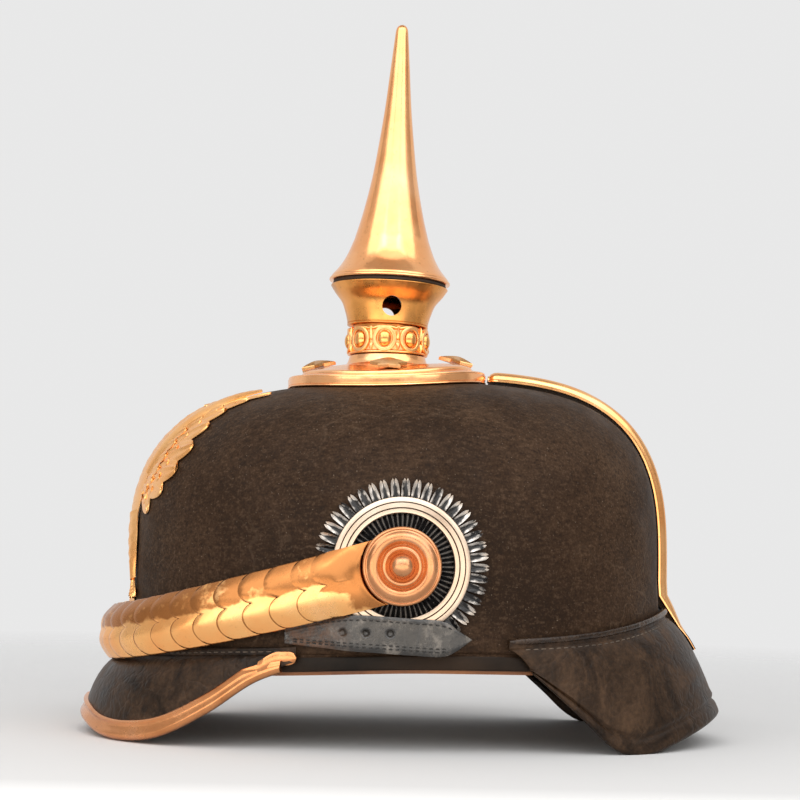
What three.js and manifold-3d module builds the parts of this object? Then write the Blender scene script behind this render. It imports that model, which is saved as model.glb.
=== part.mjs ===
// Spiked parade helmet: a leather skull and visors carrying gilt metal fittings.
// Millimetres, +Z up, front of the helmet towards -Y, the wearer's left towards +X.
// The origin is under the middle of the helmet, on the surface it rests on.
import * as THREE from 'three';
import Module from 'manifold-3d';

const wasm = await Module();
wasm.setup();

// ---------------------------------------------------------------- driving dimensions
const GAP = 0.35; // running gap left between neighbouring pieces

const skull = {
  length: 106, // half length, front and rear
  width: 86, // half width
  wallTop: 62, // height where the straight wall turns into the dome
  crown: 143.5, // height of the dome over the middle
  rise: 0.032, // the dome climbs this much per mm towards the rear
  endPower: 3.3, // squareness of the dome seen from the side
  sidePower: 2.75, // squareness of the dome seen from the front
  rearFlare: 0.07, // outward lean of the rear wall below the dome
  leather: 2.5,
  hem: 33.4, // height of the lower edge over the ears
  hemFront: 6, // how much lower that edge is at the front
  hemRear: 2.4, // and at the rear
};

const sweatband = { leather: 1.2, height: 26, shows: 1.4 };

// Visors: across runs from 0 at the centre line to 1 at the end of the visor,
// root is the height of the seam, out and edge place the free edge.
const visorColumns = 24; // strips that each visor is divided into from end to end
const visorRows = [0, 0.2, 0.42, 0.7, 1]; // from the sewn flange to the free edge

const frontVisor = {
  sweep: 69.5, // degrees of skull outline on each side of the centre
  leather: 2.2,
  flange: 3.2,
  reach: 0.72, // how far out the surface stays high before it turns down
  taper: 0,
  rows: [
    { across: 0, root: 32, out: 15.2, edge: 11 },
    { across: 0.2, root: 32.2, out: 15.2, edge: 8.6 },
    { across: 0.34, root: 32.8, out: 14.6, edge: 5.6 },
    { across: 0.47, root: 33.6, out: 13.2, edge: 5.2 },
    { across: 0.6, root: 34.4, out: 10.6, edge: 8 },
    { across: 0.75, root: 35.6, out: 6.2, edge: 17.7 },
    { across: 0.88, root: 36.4, out: 2.8, edge: 29 },
    { across: 1, root: 37.2, out: 0.9, edge: 35 },
  ],
};

const rearVisor = {
  sweep: 68.5,
  leather: 2.2,
  rim: 3.2, // the rolled edge is thicker than the sheet
  flange: 3.4,
  reach: 0.48,
  taper: 0.1, // the free edge is this much shorter than the root
  rows: [
    { across: 0, root: 50.8, out: 21.6, edge: 14 },
    { across: 0.2, root: 50.4, out: 20.8, edge: 13.2 },
    { across: 0.38, root: 48, out: 17.8, edge: 9 },
    { across: 0.5, root: 46, out: 15, edge: 5.4 },
    { across: 0.58, root: 44.8, out: 12.7, edge: 1.2 },
    { across: 0.67, root: 43.5, out: 10.1, edge: 1.2 },
    { across: 0.72, root: 43, out: 8.5, edge: 4.4 },
    { across: 0.82, root: 42, out: 5.6, edge: 14 },
    { across: 0.93, root: 41.2, out: 2.4, edge: 25 },
    { across: 1, root: 40.8, out: 0.9, edge: 31.6 },
  ],
};

const trim = { inner: 5.2, under: 2.8, bead: 2.4, metal: 0.8, ends: 0.96 };

const spine = {
  half: 6,
  crest: 4.4,
  metal: 1,
  lift: 0.6,
  bow: 1.2, // how much further it stands off the shoulder
  round: 4.5,
  onVisor: [
    { along: 0.42, crest: 1.9 },
    { along: 0.5, crest: 1.3 },
    { along: 0.58, crest: 1 },
    { along: 0.64, crest: 0.9 },
  ],
};

// Base plate: a closed profile, share is the height between the seat and the collar's top.
const plate = {
  y: -5.6,
  rim: 40.6,
  collar: 17.2,
  dome: 30, // beyond this radius the plate follows the leather fully
  metal: 1.2,
  collarTop: 155.3,
  profile: [
    { r: 40.6, share: 0 },
    { r: 40.6, share: 0.23 },
    { r: 39.3, share: 0.33 },
    { r: 35.2, share: 0.4 },
    { r: 34.6, share: 0.49 },
    { r: 26, share: 0.64 },
    { r: 17.2, share: 0.71 },
    { r: 15.6, share: 1 },
    { r: 12.5, share: 1 },
    { r: 12.5, share: 0.62 },
    { r: 33.6, share: 0.4 },
    { r: 39.4, share: 0 },
  ],
};

const lean = 1.5; // degrees the neck and spike lean to the rear
const mastShift = -0.6; // their foot stands a little forward on the collar

// Outer radius of the neck at heights above the collar.
const neckRows = [
  { up: 0.4, r: 13.9 },
  { up: 12.1, r: 13.9 },
  { up: 12.3, r: 16.5 },
  { up: 14.6, r: 16.8 },
  { up: 18.2, r: 17.8 },
  { up: 22, r: 19.3 },
  { up: 26, r: 22.4 },
  { up: 28.4, r: 24 },
  { up: 29.8, r: 24 },
];
const vent = { up: 19, radius: 3.9, turn: 3.5 };
const neckWall = 1.1;

const ring = { inner: 14.8, body: 15.8, band: 16.5, bottom: 0.35, top: 11.5, pearls: 9, turn: 6 };
const pearl = { wide: 4.2, tall: 4.9, frameOut: 16.8, dome: 0.7, crown: 0.36, domeOut: 17.6 };

// Radius of the spike above its flange, down to the blunt tip.
const spikeRows = [
  { up: 0, r: 24.2 },
  { up: 0.5, r: 24.9 },
  { up: 1.5, r: 24.7 },
  { up: 3.2, r: 23.2 },
  { up: 6.2, r: 20.8 },
  { up: 10.4, r: 18.4 },
  { up: 15, r: 16.5 },
  { up: 23, r: 14 },
  { up: 32, r: 11.8 },
  { up: 44, r: 9.4 },
  { up: 58, r: 7.4 },
  { up: 74, r: 5.5 },
  { up: 92, r: 3.9 },
  { up: 106.5, r: 2.6 },
  { up: 108.8, r: 1.7 },
];
const spikeSeat = 30.5; // flange height above the collar
const spikeWall = 1.1;
const spikeHollow = 58; // the tip above this height is solid

const stud = {
  radius: 7.8,
  waist: 3.6,
  height: 3.4,
  rim: 0.9,
  points: 5,
  ring: 28.6, // how far the studs sit from the middle of the plate
  share: 0.6,
  lift: 0.5,
  slope: 14, // degrees they lean outwards
};

// Eagle plate, laid out in degrees round a point inside the skull:
// turn to the side and climb above the horizontal.
const eagleCentre = 60;
const eagle = { lift: 0.5, metal: 1, crest: 2.2, valley: 1.3 };
const feathers = [
  { rootTurn: 20, rootClimb: 53, tipTurn: 32, tipClimb: 51 },
  { rootTurn: 17, rootClimb: 50.5, tipTurn: 26, tipClimb: 46.6 },
  { rootTurn: 15, rootClimb: 47.5, tipTurn: 25, tipClimb: 41.6 },
  { rootTurn: 13, rootClimb: 44.5, tipTurn: 27.4, tipClimb: 36 },
  { rootTurn: 11.5, rootClimb: 40.5, tipTurn: 28.8, tipClimb: 30 },
  { rootTurn: 10, rootClimb: 36, tipTurn: 26.8, tipClimb: 24.6 },
  { rootTurn: 8.4, rootClimb: 31, tipTurn: 22.8, tipClimb: 20 },
  { rootTurn: 7, rootClimb: 26.5, tipTurn: 17.2, tipClimb: 16 },
];
const eagleBody = [
  { climb: -11.2, left: 9, right: 9, rise: 1.4 },
  { climb: -8, left: 12.6, right: 12.6, rise: 1.8 },
  { climb: -3, left: 13.4, right: 13.4, rise: 2.1 },
  { climb: 4, left: 13.4, right: 13.4, rise: 2.5 },
  { climb: 9.5, left: 13.4, right: 13.4, rise: 3.9 },
  { climb: 14, left: 11, right: 11, rise: 2 },
  { climb: 21, left: 8.8, right: 8.8, rise: 2.4 },
  { climb: 28, left: 8.6, right: 8.6, rise: 2.4 },
  { climb: 34, left: 4.8, right: 4.8, rise: 2.4 },
  { climb: 39.5, left: 4.8, right: 5.2, rise: 2.8 },
  { climb: 42.5, left: 5, right: 9.6, rise: 2.8 },
  { climb: 45.5, left: 4.6, right: 5.2, rise: 2.4 },
  { climb: 49, left: 3, right: 2.8, rise: 1.2 },
];

// Side fittings, all centred on the chin strap post.
const post = { y: -0.3, z: 70.3 };
const cockade = { hole: 9, valley: 28.4, tip: 31.3, teeth: 45, lift: 0.9, metal: 0.9 };
const halo = { inner: 18.7, outer: 24.6, lift: 2.4, metal: 0.9 };
const bossRows = [
  { r: 13.8, out: 0 },
  { r: 14.2, out: 0.8 },
  { r: 14.2, out: 2 },
  { r: 12.6, out: 2.8 },
  { r: 10.8, out: 1.8 },
  { r: 8.6, out: 3 },
  { r: 6.8, out: 4.6 },
  { r: 5.2, out: 4.2 },
  { r: 4.4, out: 6.6 },
  { r: 2.4, out: 7.6 },
];

const chain = {
  side: 89.8, // half width of the loop that the scales follow
  front: 112.4, // its reach in front of the posts
  low: 41.4, // height at the front
  half: 11.8, // half the width of a scale at the post
  narrow: 1.2, // taken off that width towards the front
  tip: 5, // degrees the chain leans back at the front
  crest: 4.3,
  metal: 0.65,
  length: 13.6,
  tilt: 0.115, // how fast a scale rises towards its free edge
  lobe: 4.6, // depth of the notch between the two lobes
  ear: 4.4, // how far the outer corners of a scale stay back
  perSide: 13,
  first: 25.4, // where the first scale starts, measured from the post
};
const terminal = { disc: 12.2, waist: 15.4, end: 31.4 };
const strap = { half: 8.6, leather: 1.5, high: 1.2 };

const tail = {
  leather: 1.7,
  holes: [-20.4, -12.2, -3.8],
  holeRadius: 0.95,
  holeZ: 46.2,
  rows: [
    { y: -41.4, top: 50, bottom: 41.2, lift: 0.6 },
    { y: -33.8, top: 50.8, bottom: 40.8, lift: 0.6 },
    { y: -27.8, top: 50.8, bottom: 40.4, lift: 1 },
    { y: -22.8, top: 51.6, bottom: 40, lift: 2.5 },
    { y: -16.8, top: 52.4, bottom: 39.6, lift: 3.8 },
    { y: -7.8, top: 52.3, bottom: 39.2, lift: 4 },
    { y: 4.2, top: 51.6, bottom: 38.6, lift: 4 },
    { y: 15.8, top: 50.4, bottom: 38.6, lift: 3.8 },
    { y: 19.6, top: 48, bottom: 40.4, lift: 3 },
    { y: 24.8, top: 44.7, bottom: 44.1, lift: 2 },
  ],
};

// ---------------------------------------------------------------- materials
function finish(color, metalness, roughness) {
  return new THREE.MeshStandardMaterial({ color, metalness, roughness });
}
const gilt = finish(0xfbbe78, 1, 0.3);
const blackMetal = finish(0x1c1a1a, 0.6, 0.4);
const silver = finish(0xe8e2da, 1, 0.35);
const skullLeather = finish(0x3c3028, 0, 0.6);
const patentLeather = finish(0x2a2320, 0, 0.3);
const strapLeather = finish(0x38332f, 0, 0.5);
const tanLeather = finish(0x8a4f2c, 0, 0.7);

// ---------------------------------------------------------------- geometry helpers
const vec = (x, y, z) => new THREE.Vector3(x, y, z);
const radians = THREE.MathUtils.degToRad;

// Value of one column of a table at a given place, with smooth interpolation.
function column(rows, place, name, at) {
  const xs = rows.map((row) => row[place]);
  const ys = rows.map((row) => row[name]);
  const last = xs.length - 1;
  const slope = (k) => (ys[k + 1] - ys[k]) / (xs[k + 1] - xs[k]);
  const tangent = (k) => {
    if (k === 0) return slope(0);
    if (k === last) return slope(last - 1);
    return (slope(k - 1) + slope(k)) / 2;
  };
  const x = THREE.MathUtils.clamp(at, xs[0], xs[last]);
  let k = 0;
  while (k < last - 1 && x > xs[k + 1]) k += 1;
  const span = xs[k + 1] - xs[k];
  const t = (x - xs[k]) / span;
  const rise = ys[k + 1] - ys[k];
  const a = tangent(k) * span - rise;
  const b = -tangent(k + 1) * span + rise;
  return ys[k] * (1 - t) + ys[k + 1] * t + t * (1 - t) * (a * (1 - t) + b * t);
}

// A closed solid from a list of triangles: shared corners are merged, triangles
// without area are dropped and the faces are turned outward.
function solidFrom(triangles) {
  const positions = [];
  const index = [];
  const seen = new Map();
  const vertex = (p) => {
    const key = [p.x, p.y, p.z].map((v) => Math.round(v * 1000)).join(',');
    if (!seen.has(key)) {
      seen.set(key, positions.length / 3);
      positions.push(p.x, p.y, p.z);
    }
    return seen.get(key);
  };
  let volume = 0;
  for (const [a, b, c] of triangles) {
    const ids = [vertex(a), vertex(b), vertex(c)];
    if (new Set(ids).size < 3) continue;
    index.push(...ids);
    volume += a.dot(b.clone().cross(c));
  }
  if (volume < 0) index.reverse();
  const geometry = new THREE.BufferGeometry();
  geometry.setAttribute('position', new THREE.Float32BufferAttribute(positions, 3));
  geometry.setIndex(index);
  return geometry;
}

// A sheet of leather or metal: front(i, j) and back(i, j) give its two faces on a
// grid of rows + 1 by columns + 1 points; with round it closes on itself sideways.
function sheet(rows, columns, front, back, round = false) {
  const grid = (face) => {
    const points = [];
    for (let i = 0; i <= rows; i += 1) {
      points.push([]);
      for (let j = 0; j <= columns; j += 1) {
        points[i].push(face(i, round && j === columns ? 0 : j));
      }
    }
    return points;
  };
  const a = grid(front);
  const b = grid(back);
  const triangles = [];
  const quad = (p, q, r, s) => triangles.push([p, q, r], [p, r, s]);
  for (let i = 0; i < rows; i += 1) {
    for (let j = 0; j < columns; j += 1) {
      quad(a[i][j], a[i][j + 1], a[i + 1][j + 1], a[i + 1][j]);
      quad(b[i][j], b[i + 1][j], b[i + 1][j + 1], b[i][j + 1]);
    }
  }
  for (let j = 0; j < columns; j += 1) {
    quad(a[0][j], b[0][j], b[0][j + 1], a[0][j + 1]);
    quad(a[rows][j], a[rows][j + 1], b[rows][j + 1], b[rows][j]);
  }
  if (!round) {
    for (let i = 0; i < rows; i += 1) {
      quad(a[i][0], a[i + 1][0], b[i + 1][0], b[i][0]);
      quad(a[i][columns], b[i][columns], b[i + 1][columns], a[i + 1][columns]);
    }
  }
  return solidFrom(triangles);
}

// A bar swept along stations: section(i) gives the closed outline at station i.
function bar(stations, section) {
  const outlines = [];
  for (let i = 0; i <= stations; i += 1) outlines.push(section(i));
  const sides = outlines[0].length;
  const triangles = [];
  for (let i = 0; i < stations; i += 1) {
    for (let j = 0; j < sides; j += 1) {
      const k = (j + 1) % sides;
      const [p, q, r, s] = [outlines[i][j], outlines[i][k], outlines[i + 1][k], outlines[i + 1][j]];
      triangles.push([p, q, r], [p, r, s]);
    }
  }
  const flat = THREE.ShapeUtils.triangulateShape;
  for (const [end, turned] of [[outlines[0], true], [outlines[stations], false]]) {
    const along = end[1].clone().sub(end[0]).normalize();
    const normal = along.clone().cross(end[Math.floor(sides / 2)].clone().sub(end[0])).normalize();
    const up = normal.clone().cross(along);
    const local = end.map((p) => {
      const from = p.clone().sub(end[0]);
      return new THREE.Vector2(from.dot(along), from.dot(up));
    });
    const clockwise = THREE.ShapeUtils.isClockWise(local);
    for (const [a, b, c] of flat(clockwise ? local.slice().reverse() : local, [])) {
      const pick = (k) => end[clockwise ? sides - 1 - k : k];
      const face = [pick(a), pick(b), pick(c)];
      triangles.push(turned === clockwise ? face : face.reverse());
    }
  }
  return solidFrom(triangles);
}

// A turned solid or ring from a closed profile of { r, z } points.
function turned(profile, segments) {
  const points = profile.map(({ r, z }) => new THREE.Vector2(Math.max(r, 0), z));
  const lathe = new THREE.LatheGeometry([...points, points[0]], segments);
  lathe.rotateX(Math.PI / 2);
  return plain(lathe);
}

// Any geometry as merged triangles with the faces outward.
function plain(geometry) {
  const flat = geometry.index ? geometry.toNonIndexed() : geometry;
  const position = flat.getAttribute('position');
  const corner = (k) => vec(position.getX(k), position.getY(k), position.getZ(k));
  const triangles = [];
  for (let k = 0; k < position.count; k += 3) triangles.push([corner(k), corner(k + 1), corner(k + 2)]);
  return solidFrom(triangles);
}

const toManifold = (geometry) => new wasm.Manifold(new wasm.Mesh({
  numProp: 3,
  vertProperties: Float32Array.from(geometry.getAttribute('position').array),
  triVerts: Uint32Array.from(geometry.index.array),
}));

function fromManifold(manifold) {
  const mesh = manifold.getMesh();
  const geometry = new THREE.BufferGeometry();
  geometry.setAttribute('position', new THREE.Float32BufferAttribute(mesh.vertProperties, 3));
  geometry.setIndex(Array.from(mesh.triVerts));
  return plain(geometry);
}

const joined = (parts) => fromManifold(parts.map(toManifold).reduce((all, next) => all.add(next)));
function cut(body, tools) {
  const rest = tools.map(toManifold).reduce((left, tool) => left.subtract(tool), toManifold(body));
  return fromManifold(rest);
}

// ---------------------------------------------------------------- skull surface
// Below 0 inside the skull's outer surface, above 0 outside it.
function skullField(p) {
  const height = p.z - skull.rise * p.y - skull.wallTop;
  const flare = p.y > 0 ? 1 + (skull.rearFlare * Math.max(-height, 0)) / skull.length : 1;
  const u = Math.abs(p.x) / skull.width;
  const v = Math.abs(p.y) / (skull.length * flare);
  const plan = Math.hypot(u, v);
  const share = plan > 0 ? (v * v) / (plan * plan) : 0;
  const power = skull.sidePower + (skull.endPower - skull.sidePower) * share;
  const up = Math.max(height, 0) / (skull.crown - skull.wallTop);
  return (plan ** power + up ** power) ** (1 / power) - 1;
}

function skullNormal(p) {
  const step = 0.01;
  const beside = (axis, by) => skullField(p.clone().addScaledVector(axis, by));
  const slope = (axis) => beside(axis, step) - beside(axis, -step);
  return vec(slope(vec(1, 0, 0)), slope(vec(0, 1, 0)), slope(vec(0, 0, 1))).normalize();
}

// The point where a ray leaves the skull, lifted off it along the normal.
function onSkull(start, direction, lift) {
  let near = 0;
  let far = 260;
  for (let step = 0; step < 40; step += 1) {
    const middle = (near + far) / 2;
    if (skullField(start.clone().addScaledVector(direction, middle)) < 0) near = middle;
    else far = middle;
  }
  const p = start.clone().addScaledVector(direction, near);
  return p.addScaledVector(skullNormal(p), lift);
}

const onSide = (side, y, z, lift) => onSkull(vec(0, y, z), vec(side, 0, 0), lift);
const onTop = (x, y, lift) => onSkull(vec(x, y, skull.wallTop), vec(0, 0, 1), lift);

// Point of the wall at an angle round the skull, 0 at the left ear and -90 in front.
function onWall(angle, z, lift) {
  const direction = vec(skull.width * Math.cos(angle), skull.length * Math.sin(angle), 0).normalize();
  return onSkull(vec(0, 0, z), direction, lift);
}

// Height of the skull's lower edge at an angle round the wall.
function hemAt(angle) {
  const ahead = -Math.sin(angle);
  const front = (ahead + Math.hypot(ahead, 0.15)) / 2;
  return skull.hem - skull.hemFront * front - skull.hemRear * Math.max(-ahead, 0) ** 2;
}

function skullShell() {
  const segments = 36;
  const domeRows = 8;
  const wallRows = 1;
  const point = (i, j, depth) => {
    const angle = (2 * Math.PI * j) / segments;
    const hem = hemAt(angle);
    if (i <= wallRows) {
      const top = skull.wallTop + skull.rise * skull.length * Math.sin(angle);
      return onWall(angle, THREE.MathUtils.lerp(hem, top, i / wallRows), -depth);
    }
    const climb = radians((90 * (i - wallRows)) / domeRows);
    if (climb > radians(89)) return vec(0, 0, skull.crown - depth);
    const plan = Math.cos(climb) ** (2 / skull.endPower);
    const inside = plan * 0.9999; // so that the first ring still meets the surface from below
    return onTop(skull.width * inside * Math.cos(angle), skull.length * inside * Math.sin(angle), -depth);
  };
  const outer = (i, j) => point(i, j, 0);
  const inner = (i, j) => point(i, j, skull.leather);
  return sheet(wallRows + domeRows, segments, outer, inner, true);
}

function sweatbandRing() {
  const segments = 36;
  const depth = skull.leather + GAP;
  const point = (i, j, inset) => {
    const angle = (2 * Math.PI * j) / segments;
    const hem = hemAt(angle);
    return onWall(angle, hem - sweatband.shows + i * sweatband.height, -depth - inset);
  };
  return sheet(1, segments, (i, j) => point(i, j, 0), (i, j) => point(i, j, sweatband.leather), true);
}

// ---------------------------------------------------------------- visors
// Middle surface of a visor; heading is -1 for the front and 1 for the rear,
// along runs from 0 at the top of the sewn flange to 1 at the free edge.
function visorPoint(visor, heading, across, along) {
  const value = (name) => column(visor.rows, 'across', name, Math.abs(across));
  const flangeShare = 0.2;
  const shrink = 1 - visor.taper * Math.max(along - flangeShare, 0);
  const angle = radians(heading * 90) - heading * radians(visor.sweep) * across * shrink;
  const stand = GAP + visor.leather / 2;
  const root = value('root');
  if (along <= flangeShare) {
    return onWall(angle, root + visor.flange * (1 - along / flangeShare), stand);
  }
  const t = (along - flangeShare) / (1 - flangeShare);
  const start = onWall(angle, root, stand);
  const outward = skullNormal(start).setZ(0).normalize();
  const out = value('out');
  const edge = start.clone().addScaledVector(outward, out).setZ(value('edge'));
  const shoulder = start.clone().addScaledVector(outward, out * visor.reach);
  shoulder.z -= 0.12 * (root - value('edge'));
  const curve = new THREE.QuadraticBezierCurve3(start, shoulder, edge);
  return curve.getPoint(t);
}

// Unit normal of the visor's surface, pointing out of the helmet.
function visorNormal(visor, heading, across, along) {
  const step = 0.02;
  const at = (da, db) => visorPoint(visor, heading, across + da, THREE.MathUtils.clamp(along + db, 0, 1));
  const sideways = at(step, 0).sub(at(-step, 0));
  const down = at(0, step).sub(at(0, -step));
  return sideways.cross(down).normalize().multiplyScalar(heading);
}

// A visor; no corner of it reaches below the level of rest, where it lies flat.
function visorSheet(visor, heading, rim, rest) {
  const face = (sign) => (i, j) => {
    const across = -1 + (2 * j) / visorColumns;
    const along = visorRows[i];
    const thick = along === 1 ? rim : visor.leather;
    const p = visorPoint(visor, heading, across, along);
    p.addScaledVector(visorNormal(visor, heading, across, along), (sign * thick) / 2);
    return p.setZ(Math.max(p.z, rest));
  };
  return sheet(visorRows.length - 1, visorColumns, face(1), face(-1));
}

function visorTrim() {
  const stations = visorColumns;
  const half = frontVisor.leather / 2 + GAP;
  const leg = half + trim.metal;
  // Channel section: s inward from the edge, n out from the visor's middle surface.
  const outline = (deep, under, tuck) => [
    [deep, half],
    [deep, leg],
    [deep * 0.62, leg + 0.7 * tuck],
    [deep * 0.3, leg],
    [-0.5, leg + 0.3],
    [-trim.bead, 0.9],
    [-trim.bead, -0.9],
    [-0.55, -THREE.MathUtils.lerp(1.05, leg, tuck)],
    [under, -THREE.MathUtils.lerp(1, leg, tuck)],
    [under, -THREE.MathUtils.lerp(0.9, half, tuck)],
    [-0.4, -THREE.MathUtils.lerp(0.8, half, tuck)],
    [-0.4, half],
  ];
  return bar(stations, (i) => {
    const across = THREE.MathUtils.clamp(-1 + (2 * i) / stations, -trim.ends, trim.ends);
    const edge = visorPoint(frontVisor, -1, across, 1);
    const inner = visorRows[visorRows.length - 2];
    const inward = visorPoint(frontVisor, -1, across, inner).sub(edge);
    const room = inward.length() - 0.2;
    inward.normalize();
    const normal = visorNormal(frontVisor, -1, across, 1);
    const tuck = 1 - THREE.MathUtils.smoothstep(Math.abs(across), 0.84, 0.9);
    const folded = THREE.MathUtils.smoothstep(Math.abs(across), 0.76, 0.83);
    const under = THREE.MathUtils.lerp(Math.min(trim.under, room), -0.45, folded);
    const place = ([s, n]) => edge.clone().addScaledVector(inward, s).addScaledVector(normal, n);
    return outline(Math.min(trim.inner, room), under, tuck).map(place);
  });
}

// ---------------------------------------------------------------- rear spine
// A hollow half-round strip from behind the base plate down over the rear visor.
function rearSpine() {
  const stations = [];
  const climbs = [66.5, 65.8, 64.6, 62, 57, 51, 45, 39, 33, 27, 21, 15, 9, 4, 0];
  for (const climb of climbs) {
    const direction = vec(0, Math.cos(radians(climb)), Math.sin(radians(climb)));
    const base = onSkull(vec(0, 0, eagleCentre), direction, 0);
    const normal = skullNormal(base);
    const bow = spine.bow * THREE.MathUtils.smoothstep(climb, 25, 52);
    stations.push({ base: base.addScaledVector(normal, spine.lift + bow), normal, crest: spine.crest });
  }
  for (const { along, crest } of spine.onVisor) {
    const normal = visorNormal(rearVisor, 1, 0, along);
    const base = visorPoint(rearVisor, 1, 0, along);
    stations.push({ base: base.addScaledVector(normal, rearVisor.leather / 2 + GAP), normal, crest });
  }
  const outer = [[-1, 0], [-0.72, 0.64], [0, 1], [0.72, 0.64], [1, 0]];
  return bar(stations.length - 1, (i) => {
    const { base, normal, crest } = stations[i];
    const run = base.distanceTo(stations[0].base) / spine.round;
    const swell = run < 1 ? Math.max(Math.sqrt(1 - (1 - run) ** 2), 0.4) : 1;
    const at = ([b, n], wide, tall) => {
      const p = base.clone().addScaledVector(normal, n * tall * swell);
      return p.add(vec(b * wide * swell, 0, 0));
    };
    const hollow = Math.max(crest - spine.metal, 0.1);
    const outside = outer.map((p) => at(p, spine.half, crest));
    const inside = outer.map((p) => at(p, spine.half - spine.metal, hollow)).reverse();
    return [...outside, ...inside];
  });
}

// ---------------------------------------------------------------- base plate and spike
// Height of the plate's seat on the dome round its rim.
const seatAt = (angle) => onTop(plate.rim * Math.cos(angle), plate.y + plate.rim * Math.sin(angle), GAP).z;

const plateLevel = [0, 1, 2, 3, 4, 5, 6, 7].reduce((sum, k) => sum + seatAt((Math.PI * k) / 4) / 8, 0);

// Height on the plate: level at the collar, following the dome further out.
function plateHeight(angle, r, share) {
  const follow = THREE.MathUtils.clamp((r - plate.collar) / (plate.dome - plate.collar), 0, 1);
  return THREE.MathUtils.lerp(plateLevel, seatAt(angle), follow) + share * (plate.collarTop - plateLevel);
}

function basePlate() {
  const segments = 30;
  const corner = (i, j) => {
    const angle = (2 * Math.PI * (j % segments)) / segments;
    const { r, share } = plate.profile[i];
    return vec(r * Math.cos(angle), plate.y + r * Math.sin(angle), plateHeight(angle, r, share));
  };
  const triangles = [];
  for (let i = 0; i < plate.profile.length; i += 1) {
    const next = (i + 1) % plate.profile.length;
    for (let j = 0; j < segments; j += 1) {
      const [p, q, r, s] = [corner(i, j), corner(i, j + 1), corner(next, j + 1), corner(next, j)];
      triangles.push([p, q, r], [p, r, s]);
    }
  }
  return solidFrom(triangles);
}

// Faceted five-pointed star with its flat face down and one point along -X.
function starStud() {
  const outline = [];
  for (let k = 0; k < 2 * stud.points; k += 1) {
    const angle = Math.PI + (Math.PI * k) / stud.points;
    const radius = k % 2 === 0 ? stud.radius : stud.waist;
    outline.push({ angle, radius });
  }
  const at = ({ angle, radius }, z) => vec(radius * Math.cos(angle), radius * Math.sin(angle), z);
  const triangles = [];
  for (let k = 0; k < outline.length; k += 1) {
    const p = outline[k];
    const q = outline[(k + 1) % outline.length];
    const [low, high] = [0, stud.rim];
    triangles.push([at(p, low), at(q, low), at(q, high)], [at(p, low), at(q, high), at(p, high)]);
    triangles.push([at(p, high), at(q, high), vec(0, 0, stud.height)]);
    triangles.push([at(q, low), at(p, low), vec(0, 0, low)]);
  }
  return solidFrom(triangles);
}

function spikeNeck() {
  const outside = neckRows.map(({ up, r }) => ({ r, z: up }));
  const bored = neckRows.filter((row, k) => k !== 2);
  const inside = bored.map(({ up, r }) => ({ r: r - neckWall, z: up })).reverse();
  const tube = turned([...outside, ...inside], 24);
  const drill = new THREE.CylinderGeometry(vent.radius, vent.radius, 60, 12);
  drill.rotateZ(Math.PI / 2);
  drill.rotateZ(radians(vent.turn));
  drill.translate(0, 0, vent.up);
  return cut(tube, [plain(drill)]);
}

function pearlRing() {
  const profile = [
    { r: ring.inner, z: ring.bottom },
    { r: ring.band, z: ring.bottom },
    { r: ring.body, z: ring.bottom + 1.3 },
    { r: ring.body, z: ring.top - 1.5 },
    { r: ring.band, z: ring.top },
    { r: ring.inner, z: ring.top },
  ];
  const middle = (ring.top + ring.bottom) / 2;
  const root = ring.inner + 0.3;
  const outline = [
    { r: 0, z: 0 },
    { r: 1, z: 0 },
    { r: 1, z: pearl.frameOut - root },
    { r: pearl.dome, z: pearl.frameOut - root },
    { r: pearl.crown, z: pearl.domeOut - root },
    { r: 0, z: pearl.domeOut - root },
  ];
  const parts = [turned(profile, 3 * ring.pearls)];
  for (let k = 0; k < ring.pearls; k += 1) {
    const setting = turned(outline, 8);
    setting.scale(pearl.tall, pearl.wide, 1);
    setting.rotateY(Math.PI / 2);
    setting.translate(root, 0, middle);
    setting.rotateZ((2 * Math.PI * k) / ring.pearls - radians(ring.turn));
    parts.push(setting);
  }
  return joined(parts);
}

function spikeCone() {
  const outside = spikeRows.map(({ up, r }) => ({ r, z: up }));
  const tip = outside[outside.length - 1];
  const skirt = [
    { r: 18.6, z: 0 },
    { r: 18.6, z: -2.8 },
    { r: 17.6, z: -2.8 },
    { r: 17.6, z: 3 },
  ];
  const inside = spikeRows
    .filter((row, k) => row.up > 9 && row.up <= spikeHollow && k % 2 === 0)
    .map(({ up, r }) => ({ r: r - spikeWall, z: up }));
  const closing = { r: 0, z: spikeHollow + 4 };
  const profile = [closing, ...inside.reverse(), ...skirt.reverse(), ...outside, { r: 0, z: tip.z + 0.4 }];
  return turned(profile, 18);
}

// ---------------------------------------------------------------- eagle plate
const eaglePoint = (turn, climb, lift) => {
  const across = radians(turn);
  const up = radians(climb);
  const direction = vec(Math.sin(across) * Math.cos(up), -Math.cos(across) * Math.cos(up), Math.sin(up));
  return onSkull(vec(0, 0, eagleCentre), direction, lift);
};

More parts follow.
